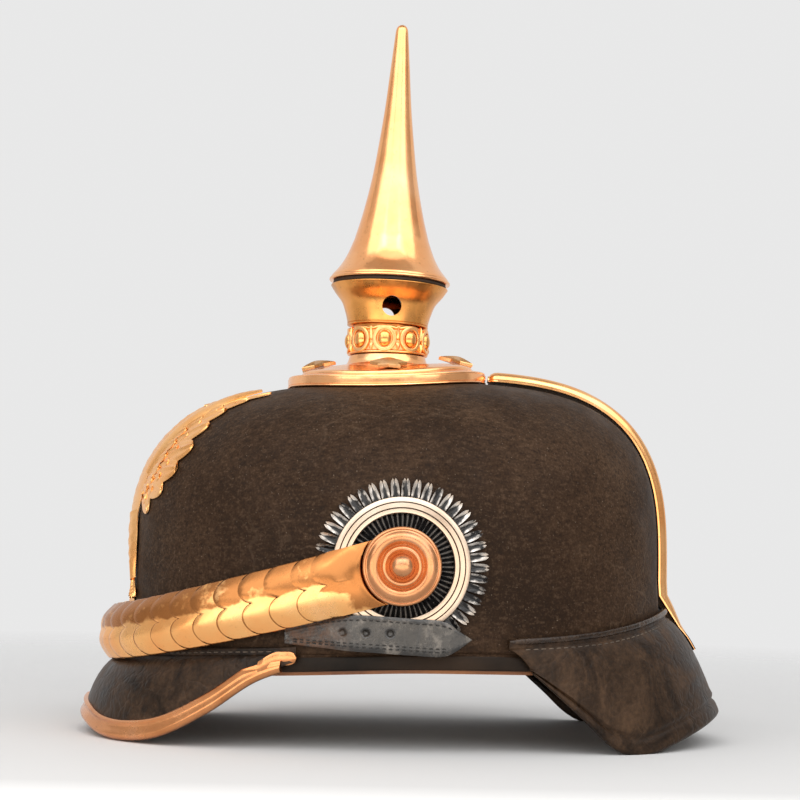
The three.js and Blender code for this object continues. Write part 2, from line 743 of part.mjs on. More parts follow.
// One wing: a fan of overlapping feathers, ridged along the middle of each.
function eagleWing(side) {
  const columns = 2 * feathers.length;
  const rows = 3;
  const pick = (name, j) => {
    const place = THREE.MathUtils.clamp(j / 2 - 0.5, 0, feathers.length - 1);
    const low = Math.floor(place);
    const high = Math.min(low + 1, feathers.length - 1);
    return THREE.MathUtils.lerp(feathers[low][name], feathers[high][name], place - low);
  };
  const face = (onTopFace) => (i, j) => {
    const ridge = j % 2 === 1;
    const reach = (i / rows) * (ridge ? 1 : 0.88);
    const turn = THREE.MathUtils.lerp(pick('rootTurn', j), pick('tipTurn', j), reach);
    const climb = THREE.MathUtils.lerp(pick('rootClimb', j), pick('tipClimb', j), reach);
    const spread = j === 0 ? 1.6 * (1 - 0.5 * reach) : 0;
    const high = 1 - 0.6 * THREE.MathUtils.smoothstep(climb, 40, 50);
    const relief = (ridge ? eagle.crest : eagle.valley) * (i === rows ? 0.7 : 1) * high;
    return eaglePoint(side * turn, climb + spread, onTopFace ? eagle.lift + relief : eagle.lift);
  };
  return sheet(rows, columns, face(true), face(false));
}

// Body, tail fan and head turned to one side.
function eagleTrunk() {
  const columns = 6;
  const face = (onTopFace) => (i, j) => {
    const row = eagleBody[i];
    const across = (2 * j) / columns - 1;
    const turn = across * (across < 0 ? row.left : row.right);
    const relief = eagle.metal + (row.rise - eagle.metal) * (1 - across * across);
    return eaglePoint(turn, row.climb, onTopFace ? eagle.lift + relief : eagle.lift);
  };
  return sheet(eagleBody.length - 1, columns, face(true), face(false));
}

// ---------------------------------------------------------------- side fittings
const roundPost = (side, radius, angle, lift) => {
  const y = post.y + radius * Math.cos(angle);
  return onSide(side, y, post.z + radius * Math.sin(angle), lift);
};

// Disc with a saw-toothed edge, bent to the skull.
function cockadeDisc(side) {
  const step = (2 * Math.PI) / cockade.teeth;
  const triangles = [];
  for (let k = 0; k < cockade.teeth; k += 1) {
    const level = (lift) => ({
      in0: roundPost(side, cockade.hole, k * step, lift),
      in1: roundPost(side, cockade.hole, (k + 1) * step, lift),
      low0: roundPost(side, cockade.valley, k * step, lift),
      low1: roundPost(side, cockade.valley, (k + 1) * step, lift),
      tip: roundPost(side, cockade.tip, (k + 0.5) * step, lift),
    });
    const a = level(cockade.lift + cockade.metal);
    const b = level(cockade.lift);
    triangles.push([a.in0, a.low0, a.tip], [a.in0, a.tip, a.in1], [a.in1, a.tip, a.low1]);
    triangles.push([b.in0, b.tip, b.low0], [b.in0, b.in1, b.tip], [b.in1, b.low1, b.tip]);
    triangles.push([b.low0, b.tip, a.tip], [b.low0, a.tip, a.low0]);
    triangles.push([b.tip, b.low1, a.low1], [b.tip, a.low1, a.tip]);
    triangles.push([b.in1, b.in0, a.in0], [b.in1, a.in0, a.in1]);
  }
  return solidFrom(triangles);
}

function cockadeHalo(side) {
  const segments = 36;
  const face = (lift) => (i, j) => {
    const radius = i === 0 ? halo.inner : halo.outer;
    return roundPost(side, radius, (2 * Math.PI * j) / segments, lift);
  };
  return sheet(1, segments, face(halo.lift + halo.metal), face(halo.lift), true);
}

// ---------------------------------------------------------------- chin chain
// Middle line of the chain on one side, from the post round to the front centre.
function chainPlace(side, beta) {
  const forward = Math.sin(beta);
  const z = chain.low + (post.z - chain.low) * (1 - forward) ** 1.15;
  return vec(side * chain.side * Math.cos(beta), post.y - chain.front * forward, z);
}

const chainSteps = 400;
const chainRuns = [0];
for (let k = 1; k <= chainSteps; k += 1) {
  const beta = (b) => (Math.PI / 2) * (b / chainSteps);
  const stride = chainPlace(1, beta(k)).distanceTo(chainPlace(1, beta(k - 1)));
  chainRuns.push(chainRuns[k - 1] + stride);
}
const chainLength = chainRuns[chainSteps];

// Frame of the chain at a distance from the post: b across it, h out from it.
function chainPoint(side, run, b, h) {
  let k = chainRuns.findIndex((value) => value >= run);
  if (k < 1) k = run <= 0 ? 1 : chainSteps;
  const share = (run - chainRuns[k - 1]) / (chainRuns[k] - chainRuns[k - 1]);
  const beta = THREE.MathUtils.clamp(((k - 1 + share) / chainSteps) * (Math.PI / 2), 0, Math.PI / 2);
  const middle = chainPlace(side, beta);
  const nudge = 0.003;
  const ahead = chainPlace(side, Math.min(beta + nudge, Math.PI / 2));
  const tangent = ahead.sub(chainPlace(side, Math.max(beta - nudge, 0))).normalize();
  const out = vec((side * Math.cos(beta)) / chain.side, -Math.sin(beta) / chain.front, 0).normalize();
  out.addScaledVector(tangent, -out.dot(tangent)).normalize();
  const across = tangent.clone().cross(out);
  if (across.z < 0) across.negate();
  const tip = radians(chain.tip) * Math.sin(beta);
  const up = across.clone().multiplyScalar(Math.cos(tip)).addScaledVector(out, -Math.sin(tip));
  const away = out.clone().multiplyScalar(Math.cos(tip)).addScaledVector(across, Math.sin(tip));
  const behind = run < 0 ? run : 0;
  return middle.addScaledVector(tangent, behind).addScaledVector(up, b).addScaledVector(away, h);
}

const chainPitch = (chainLength - 0.3 - chain.length - chain.first) / (chain.perSide - 1);
// How far each column of a scale stops short of the lobe tips.
const lobeColumns = [
  { across: -1, back: chain.ear },
  { across: -0.76, back: 0.9 },
  { across: -0.42, back: 0 },
  { across: 0, back: chain.lobe },
  { across: 0.42, back: 0 },
  { across: 0.76, back: 0.9 },
  { across: 1, back: chain.ear },
];
const chainBulge = (across) => chain.crest * (1 - across * across);

function chainScale(side, index) {
  const start = chain.first + index * chainPitch;
  const face = (metal) => (i, j) => {
    const { across, back } = lobeColumns[j];
    const run = i === 0 ? start : start + chain.length - back;
    const rise = chain.tilt * (run - start);
    const half = chain.half - chain.narrow * (run / chainLength);
    return chainPoint(side, run, across * half, chainBulge(across) + rise + metal);
  };
  return sheet(1, lobeColumns.length - 1, face(chain.metal), face(0));
}

// First plate: a flat eye under the boss, a curved step round it and a long scale.
function chainTerminal(side) {
  const start = chain.first - chainPitch;
  const rows = [
    { run: () => -terminal.disc, wide: 3, step: 0 },
    { run: () => -0.75 * terminal.disc, wide: 0.66 * terminal.disc, step: 0 },
    { run: () => 0, wide: terminal.disc, step: 0 },
    { run: (b) => Math.sqrt(terminal.waist ** 2 - b * b) - 0.6, wide: chain.half, step: 0 },
    { run: (b) => Math.sqrt(terminal.waist ** 2 - b * b) + 0.6, wide: chain.half, step: 1 },
    { run: (b, back) => terminal.end - back, wide: chain.half, step: 1 },
  ];
  const face = (metal) => (i, j) => {
    const { across, back } = lobeColumns[j];
    const b = across * rows[i].wide;
    const run = rows[i].run(b, back);
    const rise = rows[i].step * (chainBulge(across) + chain.tilt * Math.max(run - start, 0));
    return chainPoint(side, run, b, rise + metal);
  };
  const plateShape = sheet(rows.length - 1, lobeColumns.length - 1, face(chain.metal), face(0));
  const hole = new THREE.CylinderGeometry(2.9, 2.9, 12, 10);
  hole.rotateZ(Math.PI / 2);
  hole.translate(side * chain.side, post.y, post.z);
  return cut(plateShape, [plain(hole)]);
}

function chinStrap() {
  const end = 17.5;
  const perSide = 16;
  const runs = [];
  const runAt = (k) => end + ((chainLength - end) * k) / perSide;
  for (let k = 0; k <= perSide; k += 1) runs.push({ side: 1, run: runAt(k) });
  for (let k = perSide - 1; k >= 0; k -= 1) runs.push({ side: -1, run: runAt(k) });
  const face = (h) => (i, j) => chainPoint(runs[i].side, runs[i].run, j === 0 ? -strap.half : strap.half, h);
  return sheet(runs.length - 1, 1, face(strap.high), face(strap.high - strap.leather));
}

// Turned rosette with the post that carries the chain.
function boss() {
  const reach = chain.side + chain.metal + GAP - skull.width - GAP;
  const profile = [
    { r: 0, z: -reach },
    { r: 2.4, z: -reach },
    { r: 2.4, z: 0 },
    ...bossRows.map(({ r, out }) => ({ r, z: out })),
    { r: 0, z: bossRows[bossRows.length - 1].out + 0.2 },
  ];
  return turned(profile, 16);
}

// Loose end of the chin strap, lying on the skull and over the cockade.
function strapTail() {
  const stations = 22;
  const first = tail.rows[0].y;
  const last = tail.rows[tail.rows.length - 1].y;
  const face = (metal) => (i, j) => {
    const y = THREE.MathUtils.lerp(first, last, i / stations);
    const top = column(tail.rows, 'y', 'top', y);
    const bottom = column(tail.rows, 'y', 'bottom', y);
    const lift = column(tail.rows, 'y', 'lift', y);
    return onSide(1, y, j === 0 ? bottom : top, lift + metal);
  };
  const strip = sheet(stations, 1, face(tail.leather), face(0));
  const drills = tail.holes.map((y) => {
    const drill = new THREE.CylinderGeometry(tail.holeRadius, tail.holeRadius, 30, 6);
    drill.rotateZ(Math.PI / 2);
    drill.translate(skull.width, y, tail.holeZ);
    return plain(drill);
  });
  return cut(strip, drills);
}

// ---------------------------------------------------------------- assembly
const helmet = new THREE.Group();
const body = new THREE.Group();
helmet.add(body);

function add(name, geometry, material, parent = body) {
  const mesh = new THREE.Mesh(geometry, material);
  mesh.name = name;
  parent.add(mesh);
  return mesh;
}

add('skull', skullShell(), skullLeather);
add('sweatband', sweatbandRing(), tanLeather);
const trimMesh = add('front_visor_trim', visorTrim(), gilt);
const rest = new THREE.Box3().setFromObject(trimMesh, true).min.z;
add('front_visor', visorSheet(frontVisor, -1, frontVisor.leather, rest), patentLeather);
add('rear_visor', visorSheet(rearVisor, 1, rearVisor.rim, rest), patentLeather);
add('rear_spine', rearSpine(), gilt);
add('base_plate', basePlate(), gilt);

for (let k = 0; k < 4; k += 1) {
  const places = ['left', 'rear', 'right', 'front'];
  const angle = (Math.PI * k) / 2;
  const mesh = add(`star_stud_${places[k]}`, starStud(), gilt);
  const middle = plateHeight(angle, stud.ring, stud.share) + stud.lift;
  mesh.position.set(stud.ring * Math.cos(angle), plate.y + stud.ring * Math.sin(angle), middle);
  mesh.rotation.set(0, radians(stud.slope), angle, 'ZYX');
}

const mast = new THREE.Group();
mast.position.set(0, plate.y + mastShift, plate.collarTop);
mast.rotation.x = -radians(lean);
body.add(mast);
add('spike_neck', spikeNeck(), gilt, mast);
const spike = add('spike', spikeCone(), gilt, mast);
spike.position.z = spikeSeat;
const pearls = add('pearl_ring', pearlRing(), gilt);
pearls.position.set(0, plate.y, plate.collarTop);

add('front_plate', joined([eagleTrunk(), eagleWing(1), eagleWing(-1)]), gilt);

for (const [side, hand] of [[1, 'left'], [-1, 'right']]) {
  add(`cockade_${hand}`, cockadeDisc(side), blackMetal);
  add(`cockade_ring_${hand}`, cockadeHalo(side), silver);
  const knob = add(`chin_boss_${hand}`, boss(), gilt);
  knob.rotation.y = (side * Math.PI) / 2;
  knob.position.set(side * (chain.side + chain.metal + GAP), post.y, post.z);
  add(`chin_terminal_${hand}`, chainTerminal(side), gilt);
  for (let k = 0; k < chain.perSide; k += 1) {
    const number = String(k + 1).padStart(2, '0');
    add(`chin_scale_${hand}_${number}`, chainScale(side, k), gilt);
  }
}
add('chin_strap', chinStrap(), strapLeather);
add('strap_tail', strapTail(), strapLeather);

// Stand the helmet on its visor rims with the origin under its middle.
helmet.updateMatrixWorld(true);
const box = new THREE.Box3().setFromObject(helmet, true);
body.position.set(-(box.min.x + box.max.x) / 2, -(box.min.y + box.max.y) / 2, -box.min.z);

export default helmet;
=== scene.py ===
# Looks of the spiked helmet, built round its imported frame.
# Sizes in the tables are millimetres in the body's own coordinates: origin in the middle of the
# skull's plan, +Z up, front towards -Y, the wearer's left towards +X. SHIFT takes them to the frame.
import math

import bmesh
import bpy
import numpy as np
from mathutils import Matrix, Vector


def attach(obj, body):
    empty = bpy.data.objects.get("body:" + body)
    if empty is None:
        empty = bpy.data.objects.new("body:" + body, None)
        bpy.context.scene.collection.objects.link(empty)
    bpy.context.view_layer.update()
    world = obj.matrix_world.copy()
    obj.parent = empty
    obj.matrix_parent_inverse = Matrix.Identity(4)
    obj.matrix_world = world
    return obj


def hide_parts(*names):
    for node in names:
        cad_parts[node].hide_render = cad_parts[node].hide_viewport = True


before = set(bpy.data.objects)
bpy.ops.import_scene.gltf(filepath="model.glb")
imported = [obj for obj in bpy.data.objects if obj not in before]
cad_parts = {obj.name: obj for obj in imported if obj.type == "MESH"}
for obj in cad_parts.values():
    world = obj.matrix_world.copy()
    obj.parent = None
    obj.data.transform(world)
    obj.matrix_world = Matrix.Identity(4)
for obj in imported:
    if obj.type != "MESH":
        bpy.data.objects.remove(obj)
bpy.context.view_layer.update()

MM = 0.001
REST = 2.542  # height of the resting surface in the part's own drawing frame
SHIFT = np.array([0.0, -3.141, -REST])


# ---------------------------------------------------------------- small helpers
def arr(*v):
    return np.array(v, float)


def spread(*values):
    """The values as float arrays of one shape."""
    return np.broadcast_arrays(*(np.asarray(v, float) for v in values))


def unit(v):
    return v / np.maximum(np.linalg.norm(v, axis=-1, keepdims=True), 1e-12)


def step(x, a, b):
    t = np.clip((np.asarray(x, float) - a) / (b - a), 0, 1)
    return t * t * (3 - 2 * t)


def lerp(a, b, t):
    return a + (b - a) * t


def curve(table, at):
    """Smooth value of a table of (place, value) pairs."""
    xs, ys = np.array(table, float).T
    slope = np.diff(ys) / np.diff(xs)
    tangent = np.concatenate([slope[:1], (slope[1:] + slope[:-1]) / 2, slope[-1:]])
    x = np.clip(np.asarray(at, float), xs[0], xs[-1])
    k = np.clip(np.searchsorted(xs, x, side="right") - 1, 0, len(xs) - 2)
    span = xs[k + 1] - xs[k]
    t = (x - xs[k]) / span
    rise = ys[k + 1] - ys[k]
    a = tangent[k] * span - rise
    b = rise - tangent[k + 1] * span
    return ys[k] * (1 - t) + ys[k + 1] * t + t * (1 - t) * (a * (1 - t) + b * t)


def places(rows, columns, low=0):
    """Places down a sheet, from low to 1, and across it, from -1 to 1."""
    return np.linspace(low, 1, rows)[:, None], np.linspace(-1, 1, columns)[None, :]


def grid_faces(rows, columns, around, base=0):
    """Quads of a grid of points stored row by row."""
    out = []
    for i in range(rows - 1):
        for j in range(columns if around else columns - 1):
            k = (j + 1) % columns
            out.append((base + i * columns + j, base + i * columns + k, base + (i + 1) * columns + k,
                base + (i + 1) * columns + j))
    return out


def piece(name, points, faces, material, angle=35, slot=None):
    """A mesh object riding on the root, from points in millimetres."""
    points = (np.asarray(points, float).reshape(-1, 3) + SHIFT) * MM
    mesh = bpy.data.meshes.new(name)
    mesh.from_pydata(points.tolist(), [], faces)
    bm = bmesh.new()
    bm.from_mesh(mesh)
    bmesh.ops.remove_doubles(bm, verts=bm.verts, dist=2e-6)
    bmesh.ops.dissolve_degenerate(bm, edges=bm.edges, dist=1e-6)
    bmesh.ops.recalc_face_normals(bm, faces=bm.faces)
    for face in bm.faces:
        face.smooth = True
    for edge in bm.edges:
        if len(edge.link_faces) == 2 and edge.calc_face_angle(0) > math.radians(angle):
            edge.smooth = False
    bm.to_mesh(mesh)
    bm.free()
    mesh.materials.append(material)
    obj = bpy.data.objects.new(name, mesh)
    bpy.context.collection.objects.link(obj)
    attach(obj, "root")
    return obj


def shell_faces(rows, columns, around, base=0):
    """Faces of a closed sheet: the front grid, the back grid after it, and the edges between."""
    n = rows * columns
    faces = grid_faces(rows, columns, around, base) + grid_faces(rows, columns, around, base + n)

    def edge(a, b):
        faces.append((base + a, base + b, base + n + b, base + n + a))
    for i in (0, rows - 1):
        for j in range(columns if around else columns - 1):
            edge(i * columns + j, i * columns + (j + 1) % columns)
    if not around:
        for j in (0, columns - 1):
            for i in range(rows - 1):
                edge(i * columns + j, (i + 1) * columns + j)
    return faces


def wrap_faces(rows, columns):
    """Quads from the last ring of points back to the first."""
    last = (rows - 1) * columns
    return [(last + j, last + (j + 1) % columns, (j + 1) % columns, j) for j in range(columns)]


def end_faces(rows, columns):
    """One face over the first ring of points and one over the last."""
    last = (rows - 1) * columns
    return [tuple(range(columns))[::-1], tuple(last + j for j in range(columns))]


def sheet(name, front, back, material, around=False, **kw):
    """A closed sheet between two grids of points of the same shape."""
    both = np.concatenate([front.reshape(-1, 3), back.reshape(-1, 3)])
    return piece(name, both, shell_faces(*front.shape[:2], around), material, **kw)


def tube(name, sections, material, **kw):
    """A closed bar through cross-sections: array of stations by points by 3."""
    count, sides = sections.shape[:2]
    faces = grid_faces(count, sides, True) + end_faces(count, sides)
    return piece(name, sections, faces, material, **kw)


def lathe(name, profile, material, segments=128, place=None, **kw):
    """A turned solid from a closed profile of (radius, height); place maps points."""
    turn = np.arange(segments) * 2 * math.pi / segments
    rows = []
    for r, z in profile:
        rows.append(np.stack([r * np.cos(turn), r * np.sin(turn), np.full(segments, z)], -1))
    grid = np.array(rows)
    if place is not None:
        grid = place(grid)
    count = len(profile)
    faces = grid_faces(count, segments, True)
    if profile[0][0] > 1e-6 or profile[-1][0] > 1e-6:
        faces += wrap_faces(count, segments)
    return piece(name, grid, faces, material, **kw)


# ---------------------------------------------------------------- node materials
class Paint:
    """A principled material and short calls for its nodes."""

    def __init__(self, name):
        self.mat = bpy.data.materials.new(name)
        self.mat.use_nodes = True
        self.tree = self.mat.node_tree
        self.shader = self.tree.nodes["Principled BSDF"]
        self.where = self.add("ShaderNodeTexCoord").outputs["Object"]

    def add(self, kind, inputs=None, **attributes):
        node = self.tree.nodes.new(kind)
        for key, value in attributes.items():
            setattr(node, key, value)
        for key, value in (inputs or {}).items():
            self.put(node, key, value)
        return node

    def put(self, node, key, value):
        socket = node.inputs[key]
        if isinstance(value, bpy.types.NodeSocket):
            self.tree.links.new(value, socket)
        else:
            socket.default_value = value

    def noise(self, scale, detail=4, rough=0.55, where=None, distort=0.0):
        node = self.add("ShaderNodeTexNoise", {"Vector": where or self.where, "Scale": scale,
            "Detail": detail, "Roughness": rough, "Distortion": distort})
        return node.outputs["Fac"]

    def cells(self, scale, where=None):
        node = self.add("ShaderNodeTexVoronoi", {"Vector": where or self.where, "Scale": scale,
            "Randomness": 1.0}, feature="DISTANCE_TO_EDGE")
        return node.outputs["Distance"]

    def ramp(self, fac, *stops):
        node = self.add("ShaderNodeValToRGB", {"Fac": fac})
        band = node.color_ramp
        while len(band.elements) < len(stops):
            band.elements.new(0.5)
        for element, (at, colour) in zip(band.elements, stops):
            element.position = at
            if not hasattr(colour, "__len__"):
                colour = (colour,) * 3
            element.color = (*colour, 1)
        return node.outputs["Color"]

    def mix(self, fac, a, b):
        a, b = ((*c, 1) if isinstance(c, tuple) else c for c in (a, b))
        return self.add("ShaderNodeMix", {0: fac, 6: a, 7: b}, data_type="RGBA").outputs[2]

    def math(self, operation, a, b):
        return self.add("ShaderNodeMath", {0: a, 1: b}, operation=operation).outputs[0]

    def plus(self, a, b):
        return self.math("ADD", a, b)

    def times(self, a, b):
        return self.math("MULTIPLY", a, b)

    def minus(self, a, b):
        return self.math("SUBTRACT", a, b)

    def range(self, value, a, b, low, high):
        node = self.add("ShaderNodeMapRange", {"Value": value, "From Min": a, "From Max": b, "To Min": low,
            "To Max": high})
        return node.outputs["Result"]

    def split(self, vector):
        node = self.add("ShaderNodeSeparateXYZ", {"Vector": vector})
        return node.outputs

    def stretch(self, scale, where=None):
        node = self.add("ShaderNodeMapping", {"Vector": where or self.where, "Scale": scale})
        return node.outputs["Vector"]

    def bump(self, height, strength, distance):
        inputs = {"Height": height, "Strength": strength, "Distance": distance}
        return self.add("ShaderNodeBump", inputs).outputs["Normal"]

    def finish(self, **sockets):
        for key, value in sockets.items():
            key = key.replace("_", " ")
            if isinstance(value, tuple):
                value = (*value, 1) if len(value) == 3 else value
            self.put(self.shader, key, value)
        return self.mat


def gilt_paint(name, base=(1.0, 0.60, 0.27), deep=(0.88, 0.45, 0.17), rough=0.16, painted_shade=False,
        brushed=False):
    """Gilt brass: warm clouds and fine pits; its shade switch paints dark copper patches where the per-point
    attribute is high, as painted shade and painted reflection.
    """
    p = Paint(name)
    cloud = p.noise(38, 5, 0.6)
    fine = p.noise(420, 3, 0.6)
    tone = p.ramp(cloud, (0.35, deep), (0.56, base), (0.8, tuple(lerp(c, 1.0, 0.12) for c in base)))
    if painted_shade:
        # Painted shade and painted reflection: dark copper where the per-point attribute, broken up by noise,
        # is high.
        mark = p.add("ShaderNodeAttribute", attribute_name="wear_and_shade").outputs["Fac"]
        edge = p.plus(mark, p.times(p.minus(p.noise(85, 4, 0.6), 0.5), 1.5))
        tone = p.mix(p.range(edge, 0.36, 0.54, 0.0, 1.0), tone, (0.44, 0.175, 0.055))
    if brushed:
        streak = p.noise(40, 4, 0.65, where=p.stretch((1.0, 1.0, 0.25), p.where))
        tone = p.mix(p.range(streak, 0.46, 0.62, 0.0, 0.75), tone, (0.36, 0.17, 0.06))
    pits = p.ramp(p.noise(900, 2, 0.5), (0.66, 0.0), (0.74, 1.0))
    colour = p.mix(p.times(pits, 0.35), tone, (0.2, 0.08, 0.03))
    polish = p.range(p.plus(cloud, p.times(fine, 0.5)), 0.45, 1.0, rough * 0.75, rough * 1.6)
    normal = p.bump(p.plus(p.noise(260, 3), p.times(p.noise(30, 2), 3.0)), 0.12, 0.00012)
    return p.finish(Base_Color=colour, Metallic=1.0, Roughness=polish, Normal=normal)


gilt = gilt_paint("gilt_brass", (1.0, 0.50, 0.22), (0.94, 0.41, 0.16))
gilt_scales = gilt_paint("gilt_brass_scales", (1.0, 0.53, 0.20), (1.0, 0.45, 0.15), 0.2, painted_shade=True)
# Darker, redder copy of the gilt for the bosses: painted shade for the dark reflection they show.
gilt_painted_shade = gilt_paint("gilt_brass_painted_shade", (0.60, 0.28, 0.13), (0.46, 0.19, 0.08), 0.2)
# Darker copy of the gilt for the visor binding and its tongues: painted shade.
gilt_trim = gilt_paint("gilt_brass_trim", (0.74, 0.33, 0.14), (0.58, 0.23, 0.085), 0.2)
gilt_deep = gilt_paint("gilt_brass_deep", (0.93, 0.46, 0.15), (0.80, 0.35, 0.10), 0.15)
gilt_brushed = gilt_paint("gilt_brass_brushed", (0.95, 0.43, 0.12), (0.72, 0.30, 0.07), 0.26, brushed=True)
# Darker copy of the gilt for the four stars: painted shade for the dark reflection of the near star.
gilt_star_painted_shade = gilt_paint("gilt_brass_star_painted_shade", (0.72, 0.38, 0.15), (0.5, 0.26, 0.10), 0.22)
gilt_relief = gilt_paint("gilt_brass_relief", (1.0, 0.56, 0.23), (1.0, 0.48, 0.16), 0.26)
gilt_light = gilt_paint("gilt_brass_light", (1.0, 0.53, 0.22), (0.93, 0.41, 0.14), 0.15)


def leather_paint():
    """Matt skull leather: brown-black finish worn through in clouds, with fine grain and long scratches."""
    p = Paint("skull_leather")
    height_m = p.split(p.where)[2]
    wide = p.noise(16, 6, 0.66, distort=0.5)
    middle = p.noise(75, 6, 0.68)
    grain = p.noise(1100, 3, 0.65)
    weave = p.noise(700, 4, 0.6, where=p.stretch((1.0, 0.35, 1.0), p.where))
    tone = p.plus(p.times(wide, 0.85), p.times(middle, 0.15))
    # Lighter towards the top of the skull: painted light falling from above.
    tone = p.plus(tone, p.range(height_m, 0.06, 0.14, -0.02, 0.07))
    base = p.ramp(tone, (0.36, (0.018, 0.0090, 0.0042)), (0.5, (0.030, 0.0155, 0.0078)),
        (0.68, (0.055, 0.0305, 0.0165)))
    speckle = p.plus(p.times(grain, 0.5), p.times(weave, 0.5))
    base = p.mix(p.range(speckle, 0.50, 0.38, 0.0, 0.75), base, (0.012, 0.0065, 0.0035))
    base = p.mix(p.range(speckle, 0.52, 0.62, 0.0, 0.3), base, (0.115, 0.071, 0.043))
    warp = p.mix(0.03, p.where, p.add("ShaderNodeTexNoise", {"Vector": p.where,
        "Scale": 60}).outputs["Color"])
    scratch = p.cells(24, where=p.stretch((1.0, 0.35, 1.0), warp))
    here = p.range(p.noise(9, 3, 0.5), 0.48, 0.62, 0.0, 1.0)
    line = p.times(p.times(p.range(scratch, 0.0, 0.014, 1.0, 0.0), here), 0.2)
    base = p.mix(line, base, (0.15, 0.10, 0.065))
    base = p.mix(p.range(p.noise(1500, 1, 0.3), 0.74, 0.8, 0.0, 0.5), base, (0.24, 0.18, 0.13))
    rough = p.range(middle, 0.35, 0.7, 0.5, 0.72)
    height = p.plus(p.times(grain, 0.6), p.plus(p.times(middle, 0.9), p.times(line, -0.8)))
    return p.finish(Base_Color=base, Roughness=rough, Normal=p.bump(height, 0.5, 0.0004),
        Specular_IOR_Level=0.09)


def patent_paint(name="patent_leather", gloss=0.0):
    """Visor leather: mottled brown-black, crazed, half glossy."""
    p = Paint(name)
    warp = p.mix(0.012, p.where, p.add("ShaderNodeTexNoise", {"Vector": p.where, "Scale": 90,
        "Detail": 4}).outputs["Color"])
    craze = p.cells(75, where=warp)
    small = p.cells(260, where=warp)
    cloud = p.noise(42, 7, 0.7, distort=0.6)
    fine = p.noise(600, 3, 0.6)
    tone = p.plus(p.times(cloud, 0.8), p.times(fine, 0.2))
    base = p.ramp(tone, (0.38, (0.007, 0.0036, 0.0018)), (0.5, (0.027, 0.0142, 0.0070)),
        (0.66, (0.070, 0.038, 0.0195)))
    crack = p.times(p.range(craze, 0.0, 0.05, 1.0, 0.0), p.range(cloud, 0.4, 0.62, 0.0, 1.0))
    base = p.mix(p.times(crack, 0.3), base, (0.08, 0.045, 0.025))
    height = p.plus(p.times(p.range(small, 0.0, 0.25, 0.0, 1.0), 0.35),
                    p.plus(p.noise(120, 5, 0.65), p.range(craze, 0.0, 0.1, 0.0, 0.4)))
    rough = p.range(cloud, 0.4, 0.62, 0.34 - gloss, 0.52 - gloss)
    return p.finish(Base_Color=base, Roughness=rough, Normal=p.bump(height, 0.45, 0.0005),
        Specular_IOR_Level=0.17 + gloss)


def plain_leather(name, low, high, rough, scale=300, shine=0.5):
    p = Paint(name)
    cloud = p.noise(40, 5, 0.6)
    height = p.plus(p.noise(scale, 4, 0.6), p.times(p.range(p.cells(scale * 0.7), 0, 0.3, 0, 1), 0.4))
    return p.finish(Base_Color=p.ramp(cloud, (0.34, low), (0.7, high)),
        Roughness=p.range(cloud, 0.35, 0.7, rough * 0.8, rough * 1.25),
        Normal=p.bump(height, 0.3, 0.0003), Specular_IOR_Level=shine)


def strap_paint():
    """Black strap, torn and worn brown towards its front end."""
    p = Paint("strap_leather")
    y = p.split(p.where)[1]
    worn = p.times(p.range(y, -0.034, -0.020, 1.0, 0.0), p.range(p.noise(240, 5, 0.7), 0.38, 0.56, 0.0, 1.0))
    cloud = p.noise(150, 6, 0.66)
    # Mottled black: the dark clouds are the strap's own tone, and the palest clouds are painted glossy
    # highlights.
    base = p.ramp(cloud, (0.38, (0.006, 0.005, 0.004)), (0.54, (0.026, 0.022, 0.018)),
        (0.7, (0.15, 0.13, 0.11)))
    base = p.mix(worn, base, (0.085, 0.036, 0.014))
    height = p.plus(p.noise(320, 4, 0.6), p.times(worn, -1.2))
    rough = p.range(worn, 0.0, 1.0, 0.26, 0.75)
    return p.finish(Base_Color=base, Roughness=rough, Normal=p.bump(height, 0.6, 0.0006), Coat_Weight=0.4,
        Coat_Roughness=0.14)


def silver_paint():
    p = Paint("silver")
    cloud = p.noise(60, 4, 0.6)
    colour = p.ramp(cloud, (0.35, (0.58, 0.44, 0.33)), (0.65, (0.70, 0.57, 0.45)))
    return p.finish(Base_Color=colour, Metallic=1.0, Roughness=p.range(cloud, 0.3, 0.7, 0.26, 0.38),
        Normal=p.bump(p.noise(300, 3), 0.1, 0.0001))


def lacquer_paint():
    """Black lacquer, worn through to bright metal along the folds."""
    p = Paint("black_lacquer")
    wear_and_shade = p.add("ShaderNodeAttribute", attribute_name="wear_and_shade").outputs["Fac"]
    patch = p.times(wear_and_shade, p.range(p.noise(170, 4, 0.6), 0.36, 0.56, 0.25, 1.0))
    bright = p.range(patch, 0.32, 0.75, 0.0, 1.0)
    colour = p.mix(bright, (0.012, 0.011, 0.011), (0.62, 0.57, 0.52))
    return p.finish(Base_Color=colour, Metallic=p.range(bright, 0, 1, 0.35, 1.0),
        Roughness=p.range(bright, 0, 1, 0.2, 0.28),
        Normal=p.bump(p.noise(400, 3), 0.12, 0.0002))


skull_leather = leather_paint()
patent = patent_paint()
piping_leather = patent_paint("piping_leather", 0.16)
black_strap = strap_paint()
seam_leather = plain_leather("edge_leather", (0.008, 0.0055, 0.0038), (0.030, 0.018, 0.011), 0.5, shine=0.12)
dark_thread = plain_leather("dark_thread", (0.004, 0.0035, 0.003), (0.016, 0.013, 0.011), 0.6, scale=1500)
tan_leather = plain_leather("tan_leather", (0.16, 0.055, 0.02), (0.36, 0.15, 0.055), 0.6)
inner_leather = plain_leather("inner_leather", (0.05, 0.026, 0.014), (0.12, 0.06, 0.03), 0.75)
thread = plain_leather("thread", (0.05, 0.035, 0.025), (0.16, 0.12, 0.085), 0.7, scale=1500)
silver = silver_paint()
# Dark matt fill: painted shade under the spine strip and under the spike's flange, and dirt with painted
# shade in the cockade's engraved lines.
painted_shade_and_grime = plain_leather("painted_shade_and_grime", (0.014, 0.008, 0.004), (0.05, 0.028, 0.014), 0.8)
lacquer = lacquer_paint()


